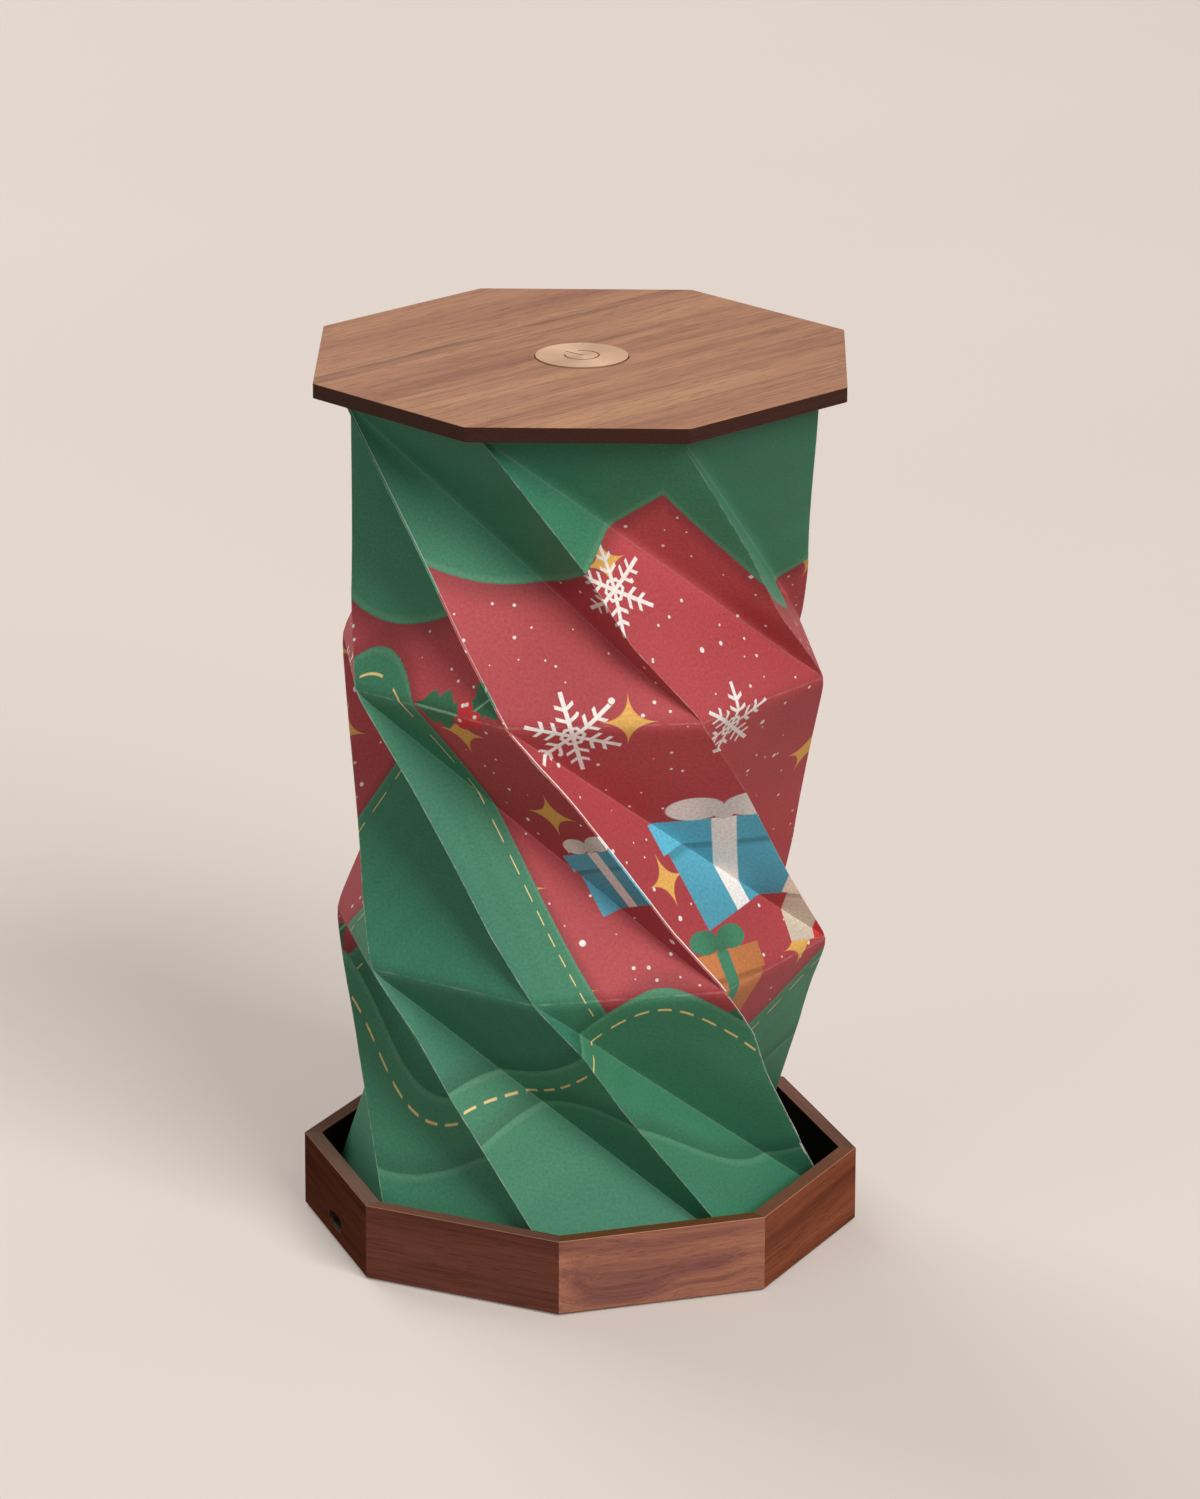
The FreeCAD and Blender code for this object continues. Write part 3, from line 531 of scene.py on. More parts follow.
def spun(f, x, y, angle):
    cosine = f.calc("COSINE", angle)
    sine = f.calc("SINE", angle)
    return (f.total(f.times(x, cosine), f.times(y, sine)),
            f.less(f.times(y, cosine), f.times(x, sine)))


def length(f, x, y):
    return f.calc("SQRT", f.total(f.times(x, x), f.times(y, y)))


def snowflake(f, x, y):
    radius = length(f, x, y)
    angle = f.calc("ARCTAN2", y, x)
    folded = f.calc("PINGPONG", f.total(angle, 2 * math.pi), math.pi / 6)
    px = f.times(radius, f.calc("COSINE", folded))
    py = f.times(radius, f.calc("SINE", folded))
    out = f.both(f.inside(py, FLAKE_ARM_WIDTH, EDGE), f.inside(px, FLAKE_ARM_LENGTH, EDGE))
    for start, reach in FLAKE_TWIGS:
        lean = f.less(f.times(f.less(px, start), TWIG_LEAN[0]), f.times(py, TWIG_LEAN[1]))
        twig = f.inside(f.calc("ABSOLUTE", lean), FLAKE_TWIG_WIDTH, EDGE)
        out = f.either(out, f.both(twig, f.inside(py, reach, EDGE)))
    heart = f.inside(f.calc("ABSOLUTE", f.less(px, FLAKE_HEART)), FLAKE_HEART_WIDTH, EDGE)
    return f.either(out, heart)


def ellipse(f, x, y, middle_x, middle_y, wide, tall):
    dx = f.times(f.less(x, middle_x), 1 / wide)
    dy = f.times(f.less(y, middle_y), 1 / tall)
    return f.inside(length(f, dx, dy), 1.0, EDGE / tall)


def upright_box(f, wide, y, half_width, half_height, middle):
    tall = f.calc("ABSOLUTE", f.less(y, middle))
    return f.both(f.inside(wide, half_width, EDGE), f.inside(tall, half_height, EDGE))


def gift(f, x, y, colour, wrap, tie):
    """A wrapped box with a ribbon and a bow, painted over the colour."""
    wide = f.calc("ABSOLUTE", x)
    box = upright_box(f, wide, y, *GIFT_BOX)
    lid = upright_box(f, wide, y, *GIFT_LID)
    bow = f.either(ellipse(f, wide, y, *GIFT_LOOP), ellipse(f, wide, y, *GIFT_KNOT))
    ribbon = f.both(f.either(box, lid), f.inside(wide, GIFT_RIBBON, EDGE))
    body = f.shade_by(f.ramp(f.total(y, f.times(x, 0.4)), -14.0, 8.0, 0.72, 1.06), wrap)
    top = f.shade_by(f.ramp(x, -11.0, 11.0, 1.12, 0.86), wrap)
    under_lid = f.inside(f.calc("ABSOLUTE", f.less(y, GIFT_SHADE_PLACE)), GIFT_SHADE, GIFT_SHADE_EDGE)
    out = f.blend(box, colour, body)
    out = f.blend(f.both(box, under_lid), out, f.shade_by(GIFT_SHADE_TONE, wrap))
    out = f.blend(lid, out, top)
    out = f.blend(ribbon, out, tie)
    out = f.blend(bow, out, f.shade_by(f.ramp(wide, 0.5, 6.0, 0.74, 1.0), tie))
    return out


def holly(f, x, y, colour):
    """Two toothed leaves and three berries, painted over the colour. The left side mirrors the right."""
    wide = f.calc("ABSOLUTE", x)
    cosine = math.cos(LEAF_LEAN)
    sine = math.sin(LEAF_LEAN)
    along = f.total(f.times(wide, cosine), f.times(y, sine))
    off = f.calc("ABSOLUTE", f.less(f.times(y, cosine), f.times(wide, sine)))
    share = f.calc("MINIMUM", f.either(f.times(along, 1 / LEAF_LENGTH), 0.0), 1.0)
    swell = f.calc("SINE", f.times(share, math.pi))
    teeth = f.calc("ABSOLUTE", f.calc("SINE", f.times(share, LEAF_TEETH * math.pi)))
    width = f.both(swell, f.total(f.times(teeth, TOOTH_WIDTH), LEAF_WIDTH))
    leaf = f.inside(f.less(off, width), -0.1, EDGE)
    vein = f.both(leaf, f.inside(off, VEIN_WIDTH, EDGE))
    green = f.shade_by(f.ramp(off, 0.0, 5.0, 0.85, 1.25), LEAF)
    out = f.blend(leaf, colour, green)
    out = f.blend(vein, out, VEIN)
    for spots, ink in ((BERRIES, BERRY), (GLEAMS, SNOW)):
        out = f.blend(f.either(*[ellipse(f, wide, y, *spot) for spot in spots]), out, ink)
    return out


def glint(f, x, y):
    """A small four-pointed glint."""
    roots = f.total(f.calc("SQRT", f.calc("ABSOLUTE", x)), f.calc("SQRT", f.calc("ABSOLUTE", y)))
    return f.inside(roots, GLINT_SIZE, EDGE)


def over(f, mask, wanted, below, above):
    return f.blend(f.both(mask, wanted), below, above)


def wave(f, u, height, swings):
    """A rolling line: a height and sine swings of (size, length in mm, start)."""
    out = height
    for size, span, start in swings:
        turn = f.total(f.times(u, 2 * math.pi / span), start)
        out = f.total(f.times(f.calc("SINE", turn), size), out)
    return out


def rolling_green(f, depth, light, dark, below, grain, stitch=None):
    """Green laid over the colour where the depth is positive, with a drawn edge and soft bands."""
    hush = f.ramp(depth, -CAST_REACH, 0.0, 1.0, CAST_TONE)
    shaded = f.shade_by(hush, below)
    tone = f.blend(f.ramp(depth, 0.0, DEEP_GREEN), light, dark)
    bands = f.calc("SINE", f.times(f.total(depth, f.times(grain, BAND_SWAY)), BAND_TURN))
    tone = f.shade_by(f.ramp(bands, -1.0, 1.0, 1.0 - BAND_TONE, 1.0 + BAND_TONE), tone)
    rim = f.both(f.ramp(depth, 0.0, 0.5), f.ramp(depth, 0.9, 2.4, 1.0, 0.0))
    tone = f.blend(f.times(rim, RIM_SHARE), tone, VEIN)
    if stitch is not None:
        thread = f.inside(f.calc("ABSOLUTE", f.less(depth, STITCH_DEPTH)), STITCH_WIDTH, EDGE)
        dash = f.inside(f.calc("PINGPONG", stitch, STITCH_SPACING), STITCH_LENGTH, EDGE)
        tone = f.blend(f.both(thread, dash), tone, STITCH)
    return f.blend(f.ramp(depth, -EDGE, EDGE), shaded, tone)


def printed_paper(name):
    f = Finish(name)
    across, up = f.split(f.sheet("Sheet"))[:2]
    u = f.times(across, SHEET_SPAN)
    v = f.times(up, SHEET_SPAN)
    flat = f.join(u, v)
    drift = f.cloud(flat, 0.016, 2.0)
    colour = f.blend(f.grade(drift), CRIMSON_DEEP, CRIMSON)

    # Falling snow in two sizes
    for width, biggest, salt in SNOWFALL:
        x, y, pick, more = lattice(f, u, v, width, width * 0.9, salt, width * 0.7)
        size = f.times(f.total(more[0], 0.35), biggest * 0.75)
        there = f.calc("GREATER_THAN", pick, 0.5)
        flake = f.ramp(f.less(length(f, x, y), size), -0.14, 0.14, 1.0, 0.0)
        colour = over(f, flake, there, colour, SNOW)

    # Gold glints
    x, y, pick = lattice(f, u, v, *GLINT_CELLS)[:3]
    colour = over(f, glint(f, x, y), f.calc("GREATER_THAN", pick, GLINTS_ABOVE), colour, GOLD_INK)

    # Larger motifs, one to a cell
    x, y, pick, more = lattice(f, u, v, *MOTIF_CELLS)
    far_off = 1.0
    for large_gift in GIFTS:
        left, low, size = large_gift[:3]
        gap = length(f, f.less(f.less(u, left), x), f.less(f.less(v, low), y))
        far_off = f.both(far_off, f.calc("GREATER_THAN", gap, GIFT_ROOM * size + MOTIF_ROOM))
    tilt = f.times(f.less(more[0], 0.5), MOTIF_TILT)
    x, y = spun(f, x, y, tilt)
    golden = f.calc("GREATER_THAN", more[1], BLUE_SHARE)
    boxed = gift(f, x, y, colour, f.blend(golden, SKY, GOLD_INK), f.blend(golden, SNOW, BERRY))
    sprig = holly(f, x, y, colour)
    flake = snowflake(f, x, y)
    low_pick = f.calc("LESS_THAN", pick, GIFTS_BELOW)
    high_pick = f.calc("GREATER_THAN", pick, FLAKES_ABOVE)
    colour = f.blend(f.both(low_pick, far_off), colour, boxed)
    colour = f.blend(f.both(f.less(f.less(1.0, low_pick), high_pick), far_off), colour, sprig)
    colour = over(f, flake, f.both(high_pick, far_off), colour, SNOW)

    # A few large gifts standing on the green
    for left, low, size, tilt, wrap, tie in GIFTS:
        x = f.times(f.less(u, left), 1 / size)
        y = f.times(f.less(v, low), 1 / size)
        x, y = spun(f, x, y, tilt)
        colour = gift(f, x, y, colour, wrap, tie)

    # Green swags under the lid, a tall green roll and two low ones along the deck
    turn = f.total(f.times(u, math.pi / SWAG_SPAN), SWAG_START)
    swing = f.calc("ABSOLUTE", f.calc("SINE", turn))
    edge = wave(f, u, SWAG_LINE, SWAG_SWING)
    swag = f.less(v, f.less(edge, f.times(swing, SWAG_DEPTH)))
    colour = rolling_green(f, swag, GREEN, GREEN_DEEP, colour, drift)
    off_middle = f.less(u, ROLL_MIDDLE)
    hump = f.times(off_middle, 1 / ROLL_WIDTH)
    hump = f.calc("EXPONENT", f.times(f.times(hump, hump), -1.0))
    sway = f.times(f.calc("SINE", f.times(u, ROLL_SWAY_TURN)), ROLL_SWAY)
    crest = f.total(f.times(hump, ROLL_HEIGHT), sway)
    tall = f.less(crest, f.less(v, ROLL_FOOT))
    round_hump = f.times(f.calc("ARCTAN2", f.less(v, STITCH_HEIGHT), off_middle), STITCH_RADIUS)
    colour = rolling_green(f, tall, GREEN, GREEN_DEEP, colour, drift, f.total(round_hump, STITCH_START))
    far = f.less(wave(f, u, *FAR_ROLL), v)
    colour = rolling_green(f, far, GREEN_PALE, GREEN, colour, drift, u)
    near = f.less(wave(f, u, *NEAR_ROLL), v)
    colour = rolling_green(f, near, GREEN, GREEN_DEEP, colour, drift)

    # Wear where the sheet is folded
    column, level = f.split(f.sheet("Folds"))[:2]
    column = f.times(column, FOLD_SPAN)
    level = f.times(level, FOLD_SPAN)
    rub = f.cloud(flat, 0.35, 3.0, 0.6)
    fray = f.cloud(flat, 2.2, 2.0, 0.6)
    gaps = []
    for value, spacing in ((column, RIDGE_SPACING), (f.total(column, level), VALLEY_SPACING),
                           (level, TIER_FLAT_HEIGHT)):
        gaps.append(f.times(f.calc("PINGPONG", value, 0.5), spacing))
    worn = f.blend(0.42, colour, WORN)
    ridge = f.ramp(f.less(gaps[0], f.times(fray, 0.36)), -0.10, 0.12, 1.0, 0.0)
    ridge = f.times(ridge, f.ramp(rub, 0.36, 0.68, 0.12, 0.85))
    colour = f.blend(ridge, colour, worn)
    valley = f.both(f.inside(gaps[1], 0.22, 0.2), 0.14)
    ring = f.both(f.inside(gaps[2], 0.25, 0.2), f.ramp(rub, 0.36, 0.66, 0.05, 0.35))
    colour = f.blend(f.either(valley, ring), colour, worn)
    raw = f.ramp(f.total(column, f.times(fray, 0.012)), SIDES + 0.021, SIDES + 0.029)
    raw = f.times(raw, f.ramp(level, TIERS - 1.05, TIERS - 0.9, 0.95, 0.3))
    colour = f.blend(raw, colour, SNOW)

    # Fibres of the paper
    fibre = f.cloud(flat, 1.3, 4.0, 0.75)
    colour = f.shade_by(f.ramp(fibre, 0.25, 0.75, 0.74, 1.26, False), colour)
    f.set(Base_Color=colour, Roughness=0.62, Specular_IOR_Level=0.3)
    f.bump(fibre, 0.05 * MM, 0.6)
    return f.material


def plain_paper(name):
    f = Finish(name)
    fibre = f.cloud(f.place(), 1400.0, 4.0, 0.7)
    colour = f.blend(f.grade(fibre), linear(226, 222, 214), linear(242, 240, 234))
    f.set(Base_Color=colour, Roughness=0.8, Specular_IOR_Level=0.25)
    f.bump(fibre, 0.03 * MM, 0.5)
    return f.material


# Timber and the other finishes

# Scale that turns a place in metres into mm
IN_MM = (1000.0, 1000.0, 1000.0)
# Icon of the power disc: its depth, how far out it reaches, and how soft its edges are
ICON_DEPTH = 0.07 * MM
ICON_REACH = 6.0 * MM
ICON_DEPTH_EDGE = 0.02 * MM
ICON_REACH_EDGE = 0.05 * MM


def walnut(name, turn, light, middle, dark, salt=0.0, figure=0.0, edge=None, rim=None, streak=0.0,
           band=0.085, sheen=0.0, fleck=0.0):
    """Oiled walnut with its grain along a line turned that far from X."""
    f = Finish(name)
    own_y = f.split(f.turned(f.place(), turn, IN_MM))[1]
    grain = f.turned(f.place(), turn, IN_MM, (salt * 37.0, salt * 11.0, salt * 5.0))
    x, y, z = f.split(grain)
    sway = f.cloud(f.join(f.times(x, 0.022), f.times(y, 0.03), f.times(z, 0.03)), 1.0, 2.0)
    lift = f.times(f.less(sway, 0.5), figure)
    across = f.total(y, lift)
    up = f.total(z, lift)

    def streaky(along, crossing, detail, rough, wander=0.0):
        spot = f.join(f.times(x, along), f.times(across, crossing), f.times(up, crossing))
        return f.cloud(spot, 1.0, detail, rough, wander)

    bands = streaky(0.006, band, 5.0, 0.55, 0.4)
    colour = f.blend(f.ramp(bands, 0.28, 0.52), dark, middle)
    colour = f.blend(f.ramp(bands, 0.48, 0.74), colour, light)
    fibre = streaky(0.03, 2.2, 4.0, 0.65)
    colour = f.shade_by(f.ramp(fibre, 0.25, 0.75, 0.78, 1.18, False), colour)
    lines = f.ramp(streaky(0.009, 0.55, 3.0, 0.6), 0.52, 0.70)
    colour = f.blend(f.times(lines, 0.5), colour, f.shade_by(0.70, dark))
    if fleck:
        flecks = f.ramp(streaky(0.11, 1.0, 2.0, 0.55), 0.54, 0.68)
        colour = f.blend(f.times(flecks, fleck), colour, f.shade_by(0.62, dark))
    pores = f.ramp(streaky(0.16, 4.2, 2.0, 0.5), 0.58, 0.70)
    colour = f.blend(f.times(pores, 0.45), colour, f.shade_by(0.45, dark))
    if streak:
        line = f.calc("ABSOLUTE", f.less(f.total(own_y, f.times(f.less(sway, 0.5), 4.0)), streak))
        fade = f.ramp(f.cloud(f.join(f.times(x, 0.045), f.times(y, 0.5)), 1.0, 2.0), 0.38, 0.58, 0.12, 0.75)
        colour = f.blend(f.both(f.ramp(line, 0.2, 2.0, 1.0, 0.0), fade), colour, f.shade_by(0.62, dark))
    facing = f.normal()
    rise = f.split(facing)[2]
    if edge is not None:
        burnt = f.shade_by(f.grade(fibre, 0.82, 1.12, False), edge)
        colour = f.blend(f.ramp(rise, 0.35, 0.6), burnt, colour)
    if rim is not None:
        worn = f.shade_by(f.grade(fibre, 0.84, 1.14, False), rim)
        colour = f.blend(f.ramp(rise, 0.8, 0.95), colour, worn)
        # Chamfers at the top and bottom edges get a painted highlight: a lighter colour for the light they
        # catch
        steep = f.calc("ABSOLUTE", rise)
        arris_highlight = f.both(f.ramp(steep, 0.4, 0.6), f.ramp(steep, 0.8, 0.9, 1.0, 0.0))
        colour = f.blend(f.times(arris_highlight, 0.3), colour, linear(206, 158, 128))
        # Faces turned in towards the middle of the tray are darkened to near black
        away = f.split(f.turned(facing, turn))[1]
        colour = f.blend(f.ramp(away, 0.5, 0.8), colour, linear(36, 25, 20))
    f.set(Base_Color=colour, Specular_IOR_Level=sheen)
    f.set(Roughness=f.grade(fibre, 0.62, 0.50, False))
    f.bump(f.less(fibre, f.times(pores, 0.8)), 0.06 * MM, 0.5)
    return f.material


def brushed_gold():
    """Disc turned on a lathe, with fine rings, and darker where its icon is sunk."""
    f = Finish("brushed_gold")
    x, y, z = f.split(f.place())
    radius = length(f, x, y)
    rings = f.cloud(f.join(f.times(radius, 9000.0), 0.0, 0.0), 1.0, 2.0, 0.7)
    cloudy = f.cloud(f.place(), 160.0, 3.0)
    colour = f.blend(f.grade(rings), linear(178, 146, 118), linear(204, 174, 146))
    colour = f.shade_by(f.grade(cloudy, 0.95, 1.04), colour)
    deep = f.inside(z, BUTTON_TOP - ICON_DEPTH, ICON_DEPTH_EDGE)
    sunk = f.both(deep, f.inside(radius, ICON_REACH, ICON_REACH_EDGE))
    colour = f.blend(sunk, colour, linear(120, 92, 66))
    f.set(Base_Color=colour, Metallic=0.85, Anisotropic=0.4)
    f.set(Roughness=f.grade(rings, 0.46, 0.58, False))
    f.bump(rings, 0.012 * MM, 0.35)
    return f.material


def moulded(name, base, rough, scale=900.0, depth=0.03, metal=0.0, spread=0.12):
    """Plain moulded, cast or sheet finish with a fine speckle."""
    f = Finish(name)
    speck = f.cloud(f.place(), scale, 3.0, 0.6)
    slow = f.cloud(f.place(), 60.0, 2.0)
    colour = f.shade_by(f.grade(speck, 1.0 - spread, 1.0 + spread, False), base)
    colour = f.shade_by(f.grade(slow, 0.94, 1.05), colour)
    f.set(Base_Color=colour, Metallic=metal)
    f.set(Roughness=f.grade(speck, rough - 0.06, rough + 0.06, False))
    f.bump(speck, depth * MM, 0.5)
    return f.material


def brushed_steel():
    f = Finish("brushed_steel")
    lines = f.cloud(f.turned(f.place(), 0.0, (300.0, 9000.0, 9000.0)), 1.0, 2.0, 0.6)
    colour = f.blend(f.grade(lines), linear(128, 128, 130), linear(172, 172, 174))
    f.set(Base_Color=colour, Metallic=1.0)
    f.set(Roughness=f.grade(lines, 0.28, 0.42, False))
    f.bump(lines, 0.01 * MM, 0.4)
    return f.material


def circuit_board():
    """Green solder mask with faint tracks and tinned pads."""
    f = Finish("circuit_board")
    y = f.split(f.place())[1]
    drift = f.times(f.cloud(f.place(), 90.0, 1.0), 0.01)
    rows = f.calc("PINGPONG", f.times(f.total(y, drift), 420.0), 1.0)
    track = f.ramp(rows, 0.30, 0.45, 1.0, 0.0)
    cells = f.add("ShaderNodeTexVoronoi")
    f.feed(cells.inputs["Vector"], f.place())
    cells.inputs["Scale"].default_value = 260.0
    pads = f.ramp(cells.outputs["Distance"], 0.16, 0.2, 1.0, 0.0)
    colour = f.blend(f.times(track, 0.5), linear(18, 70, 44), linear(34, 104, 66))
    colour = f.blend(pads, colour, linear(190, 186, 172))
    f.set(Base_Color=colour, Metallic=pads)
    f.set(Roughness=f.ramp(track, 0.0, 1.0, 0.42, 0.34))
    f.bump(f.total(track, pads), 0.03 * MM, 0.5)
    return f.material


def plywood():
    f = Finish("plywood")
    grain = f.turned(f.place(), 0.0, (40.0, 1500.0, 1500.0))
    fibre = f.cloud(grain, 1.0, 4.0, 0.6, 0.3)
    z = f.split(f.place())[2]
    ply = f.calc("PINGPONG", f.times(z, 2500.0), 1.0)
    colour = f.blend(f.grade(fibre), linear(166, 126, 88), linear(196, 160, 120))
    colour = f.shade_by(f.ramp(ply, 0.4, 0.6, 0.86, 1.02), colour)
    f.set(Base_Color=colour)
    f.set(Roughness=f.grade(fibre, 0.66, 0.54))
    f.bump(fibre, 0.05 * MM, 0.5)
    return f.material


def opal_plastic():
    f = Finish("opal_plastic")
    milk = f.cloud(f.place(), 500.0, 3.0)
    colour = f.blend(f.grade(milk), linear(236, 236, 230), linear(246, 246, 242))
    f.set(Base_Color=colour, Roughness=0.45, Subsurface_Weight=0.2)
    f.bump(milk, 0.02 * MM, 0.3)
    return f.material


def dress(thing, *materials):
    thing.data.materials.clear()
    for material in materials:
        thing.data.materials.append(material)


# Lead


def run_lead(name, points, replaced, body):
    """A thin round lead on a smooth line through its route."""
    bpy.ops.object.select_all(action="DESELECT")
    bpy.ops.curve.primitive_nurbs_path_add()
    lead = bpy.context.object
    lead.name = name
    curve = lead.data
    curve.splines.clear()
    spline = curve.splines.new("NURBS")
    spline.points.add(len(points) - 1)
    for point, spot in zip(spline.points, points):
        point.co = (spot[0], spot[1], spot[2], 1.0)
    spline.order_u = 3
    spline.use_endpoint_u = True
    spline.resolution_u = 12
    curve.bevel_depth = LEAD_RADIUS
    curve.bevel_resolution = 3
    curve.use_fill_caps = True
    bpy.ops.object.convert(target="MESH")
    lead = bpy.context.object
    settle(lead)
    lead.data.name = name
    start_edit(lead, whole=True)
    bpy.ops.mesh.remove_doubles(threshold=TOUCHING)
    bpy.ops.mesh.normals_make_consistent(inside=False)
    end_edit()
    bpy.ops.object.shade_smooth_by_angle(angle=SHARP_ANGLE)
    dress(lead, finishes["lead_sheath"])
    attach(lead, body)
    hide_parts(replaced)
    return lead


# Ridge to ridge, valley to valley and ring to ring on the flat sheet, in mm
RIDGE_SPACING = 40.8
VALLEY_SPACING = 31.05
TIER_FLAT_HEIGHT = 75.9
# How the random number of a facet is looked up
COLUMN_STRIDE = 7.31
TIER_STRIDE = 5.17
SALT_STRIDE = 3.7
UPPER_PLACE = 11.3
LOWER_PLACE = 2.9
FACET_SCALE = 1.713
# Largest bow of a facet in mm, and what makes the product of three shares 1 in its middle
BOW = 0.55
BUBBLE_PEAK = 27
# How the ridges of each tier stray sideways: share of the tier's height, reach, and size to the right
WANDERS = (
    ((0.79, 0.21, 2.0),),
    ((0.70, 0.26, 1.0), (0.22, 0.22, -1.0)),
    ((0.27, 0.24, -2.6),),
)
# How strongly a ridge strays, how far from it that reaches in mm, and the share left at the top of the seam
VIGOUR = 0.9
VIGOUR_SPREAD = 0.6
STRAY_REACH = 8.0
SEAM_STRAY = 0.15
# Ripple of the sheet in mm, and the levels from deck and lid over which all the fold work comes in
RIPPLE = 0.14
RIPPLE_SCALE = 38.0
HELD_LEVELS = 0.12
# Softness of the folds: weight on the fold and reach in mm
RING_SOFT = (0.75, 2.6)
VALLEY_SOFT = (0.35, 1.8)
RIDGE_SOFT = (0.15, 1.2)
SOFT_MARGIN = 0.02
SOFT_ROUNDS = 3
SMOOTH_FACTOR = 0.5
# Slack of the top tier's valleys: share of the tier over which it grows, and its reach in mm
SLACK_RISE = 0.5
SLACK_REACH = 5.0
SLACK_MARGIN = 0.04
SLACK_ROUNDS = 16
# Lapped edge of the seam: its lift, its share of the first narrow strip and how uneven it is
FLAP_LIFT = 0.22 * MM
FLAP_SHARE = 0.5
FLAP_TIGHT = 0.3
FLAP_UNEVEN = 0.7
FLAP_SCALE = 160.0
SEAM_COLUMN = 1e-4
# Softness of a printed edge, in mm
EDGE = 0.12

# Inks
CRIMSON = linear(182, 76, 82)
CRIMSON_DEEP = linear(164, 62, 68)
GREEN = linear(59, 125, 95)
GREEN_PALE = linear(63, 129, 98)
GREEN_DEEP = linear(54, 121, 93)
SNOW = linear(240, 236, 232)
STITCH = linear(232, 206, 140)
SKY = linear(92, 178, 204)
GOLD_INK = linear(226, 176, 92)
BERRY = linear(206, 56, 60)
LEAF = linear(52, 108, 76)
VEIN = linear(126, 172, 140)
WORN = linear(226, 224, 214)
CREAM = linear(236, 222, 204)
TAN = linear(196, 124, 74)

# Snowflake, in mm: half width and length of its arms, start and reach of its twigs, their half width and
# lean, and the ring at its heart
FLAKE_ARM_WIDTH = 0.5
FLAKE_ARM_LENGTH = 11.5
FLAKE_TWIGS = ((4.2, 2.6), (7.2, 2.2))
FLAKE_TWIG_WIDTH = 0.42
TWIG_LEAN = (0.866, 0.5)
FLAKE_HEART = 2.3
FLAKE_HEART_WIDTH = 0.4
# Gift, in mm: half width, half height and middle of box and lid, ribbon, bow and the shade under the lid
GIFT_BOX = (9.6, 7.5, -2.5)
GIFT_LID = (10.8, 2.4, 4.6)
GIFT_RIBBON = 1.7
GIFT_LOOP = (3.9, 9.2, 4.0, 2.3)
GIFT_KNOT = (0.0, 8.2, 1.5, 1.5)
GIFT_SHADE_PLACE = 1.7
GIFT_SHADE = 0.7
GIFT_SHADE_EDGE = 0.6
GIFT_SHADE_TONE = 0.62
# Holly, in mm: leaf, vein, and the middle and half sizes of berries and gleams
LEAF_LEAN = math.radians(24)
LEAF_LENGTH = 15.5
LEAF_WIDTH = 3.3
LEAF_TEETH = 3.5
TOOTH_WIDTH = 2.1
VEIN_WIDTH = 0.28
BERRIES = ((2.1, -1.0, 2.15, 2.15), (0.0, 2.4, 2.15, 2.15))
GLEAMS = ((2.4, -0.3, 0.55, 0.5), (0.5, 3.1, 0.55, 0.5))
GLINT_SIZE = 2.7
# Cells whose random number is below or above these hold a gift, a snowflake or a glint
GIFTS_BELOW = 0.30
FLAKES_ABOVE = 0.68
GLINTS_ABOVE = 0.66
BLUE_SHARE = 0.45
# Spread of the motifs' turns in radians, and the room in mm kept round a large gift and a motif
MOTIF_TILT = 1.1
GIFT_ROOM = 12.0
MOTIF_ROOM = 14.0
# Green of the print, in mm: the shade it casts, how deep it darkens, its bands and its stitches
CAST_REACH = 7.0
CAST_TONE = 0.70
DEEP_GREEN = 34.0
BAND_SWAY = 5.0
BAND_TURN = 0.42
BAND_TONE = 0.025
RIM_SHARE = 0.22
STITCH_DEPTH = 6.5
STITCH_WIDTH = 0.34
STITCH_SPACING = 2.6
STITCH_LENGTH = 1.6
# Snow of the print: width of its cells and biggest radius in mm, and salt
SNOWFALL = ((12.0, 0.80, 3.0), (7.0, 0.42, 8.0))
# Cells of the glints and of the larger motifs: width and height in mm, salt, jitter in mm
GLINT_CELLS = (26.0, 23.0, 41.0, 7.0)
MOTIF_CELLS = (47.0, 42.0, 17.0, 9.0)
# Swags under the lid, in mm on the flat sheet: length, start, line they hang from, its swing and their depth
SWAG_SPAN = 104.0
SWAG_START = 0.55
SWAG_LINE = 212.0
SWAG_SWING = ((9.0, 231.0, 1.0),)
SWAG_DEPTH = 36.0
# Tall green roll, in mm: middle, half width, foot, height, and the sway of its edge
ROLL_MIDDLE = 350.0
ROLL_WIDTH = 43.0
ROLL_FOOT = 42.0
ROLL_HEIGHT = 116.0
ROLL_SWAY = 5.0
ROLL_SWAY_TURN = 0.075
# Height that the roll's stitches are counted round, their radius and the first of them
STITCH_HEIGHT = 60.0
STITCH_RADIUS = 48.0
STITCH_START = 200.0
# Low rolls along the deck: height and swings
FAR_ROLL = (56.0, ((17.0, 143.0, 2.4), (5.0, 57.0, 0.4)))
NEAR_ROLL = (30.0, ((13.0, 119.0, 0.3),))
# Large gifts of the print: place on the flat sheet in mm, size, tilt, paper and ribbon
GIFTS = (
    (86.0, 108.0, 1.65, 0.10, SKY, SNOW),
    (112.0, 88.0, 1.15, -0.22, CREAM, BERRY),
    (72.0, 76.0, 1.25, -0.12, TAN, GREEN_PALE),
    (196.0, 96.0, 1.50, 0.16, SKY, SNOW),
    (226.0, 84.0, 1.10, -0.20, GOLD_INK, BERRY),
)

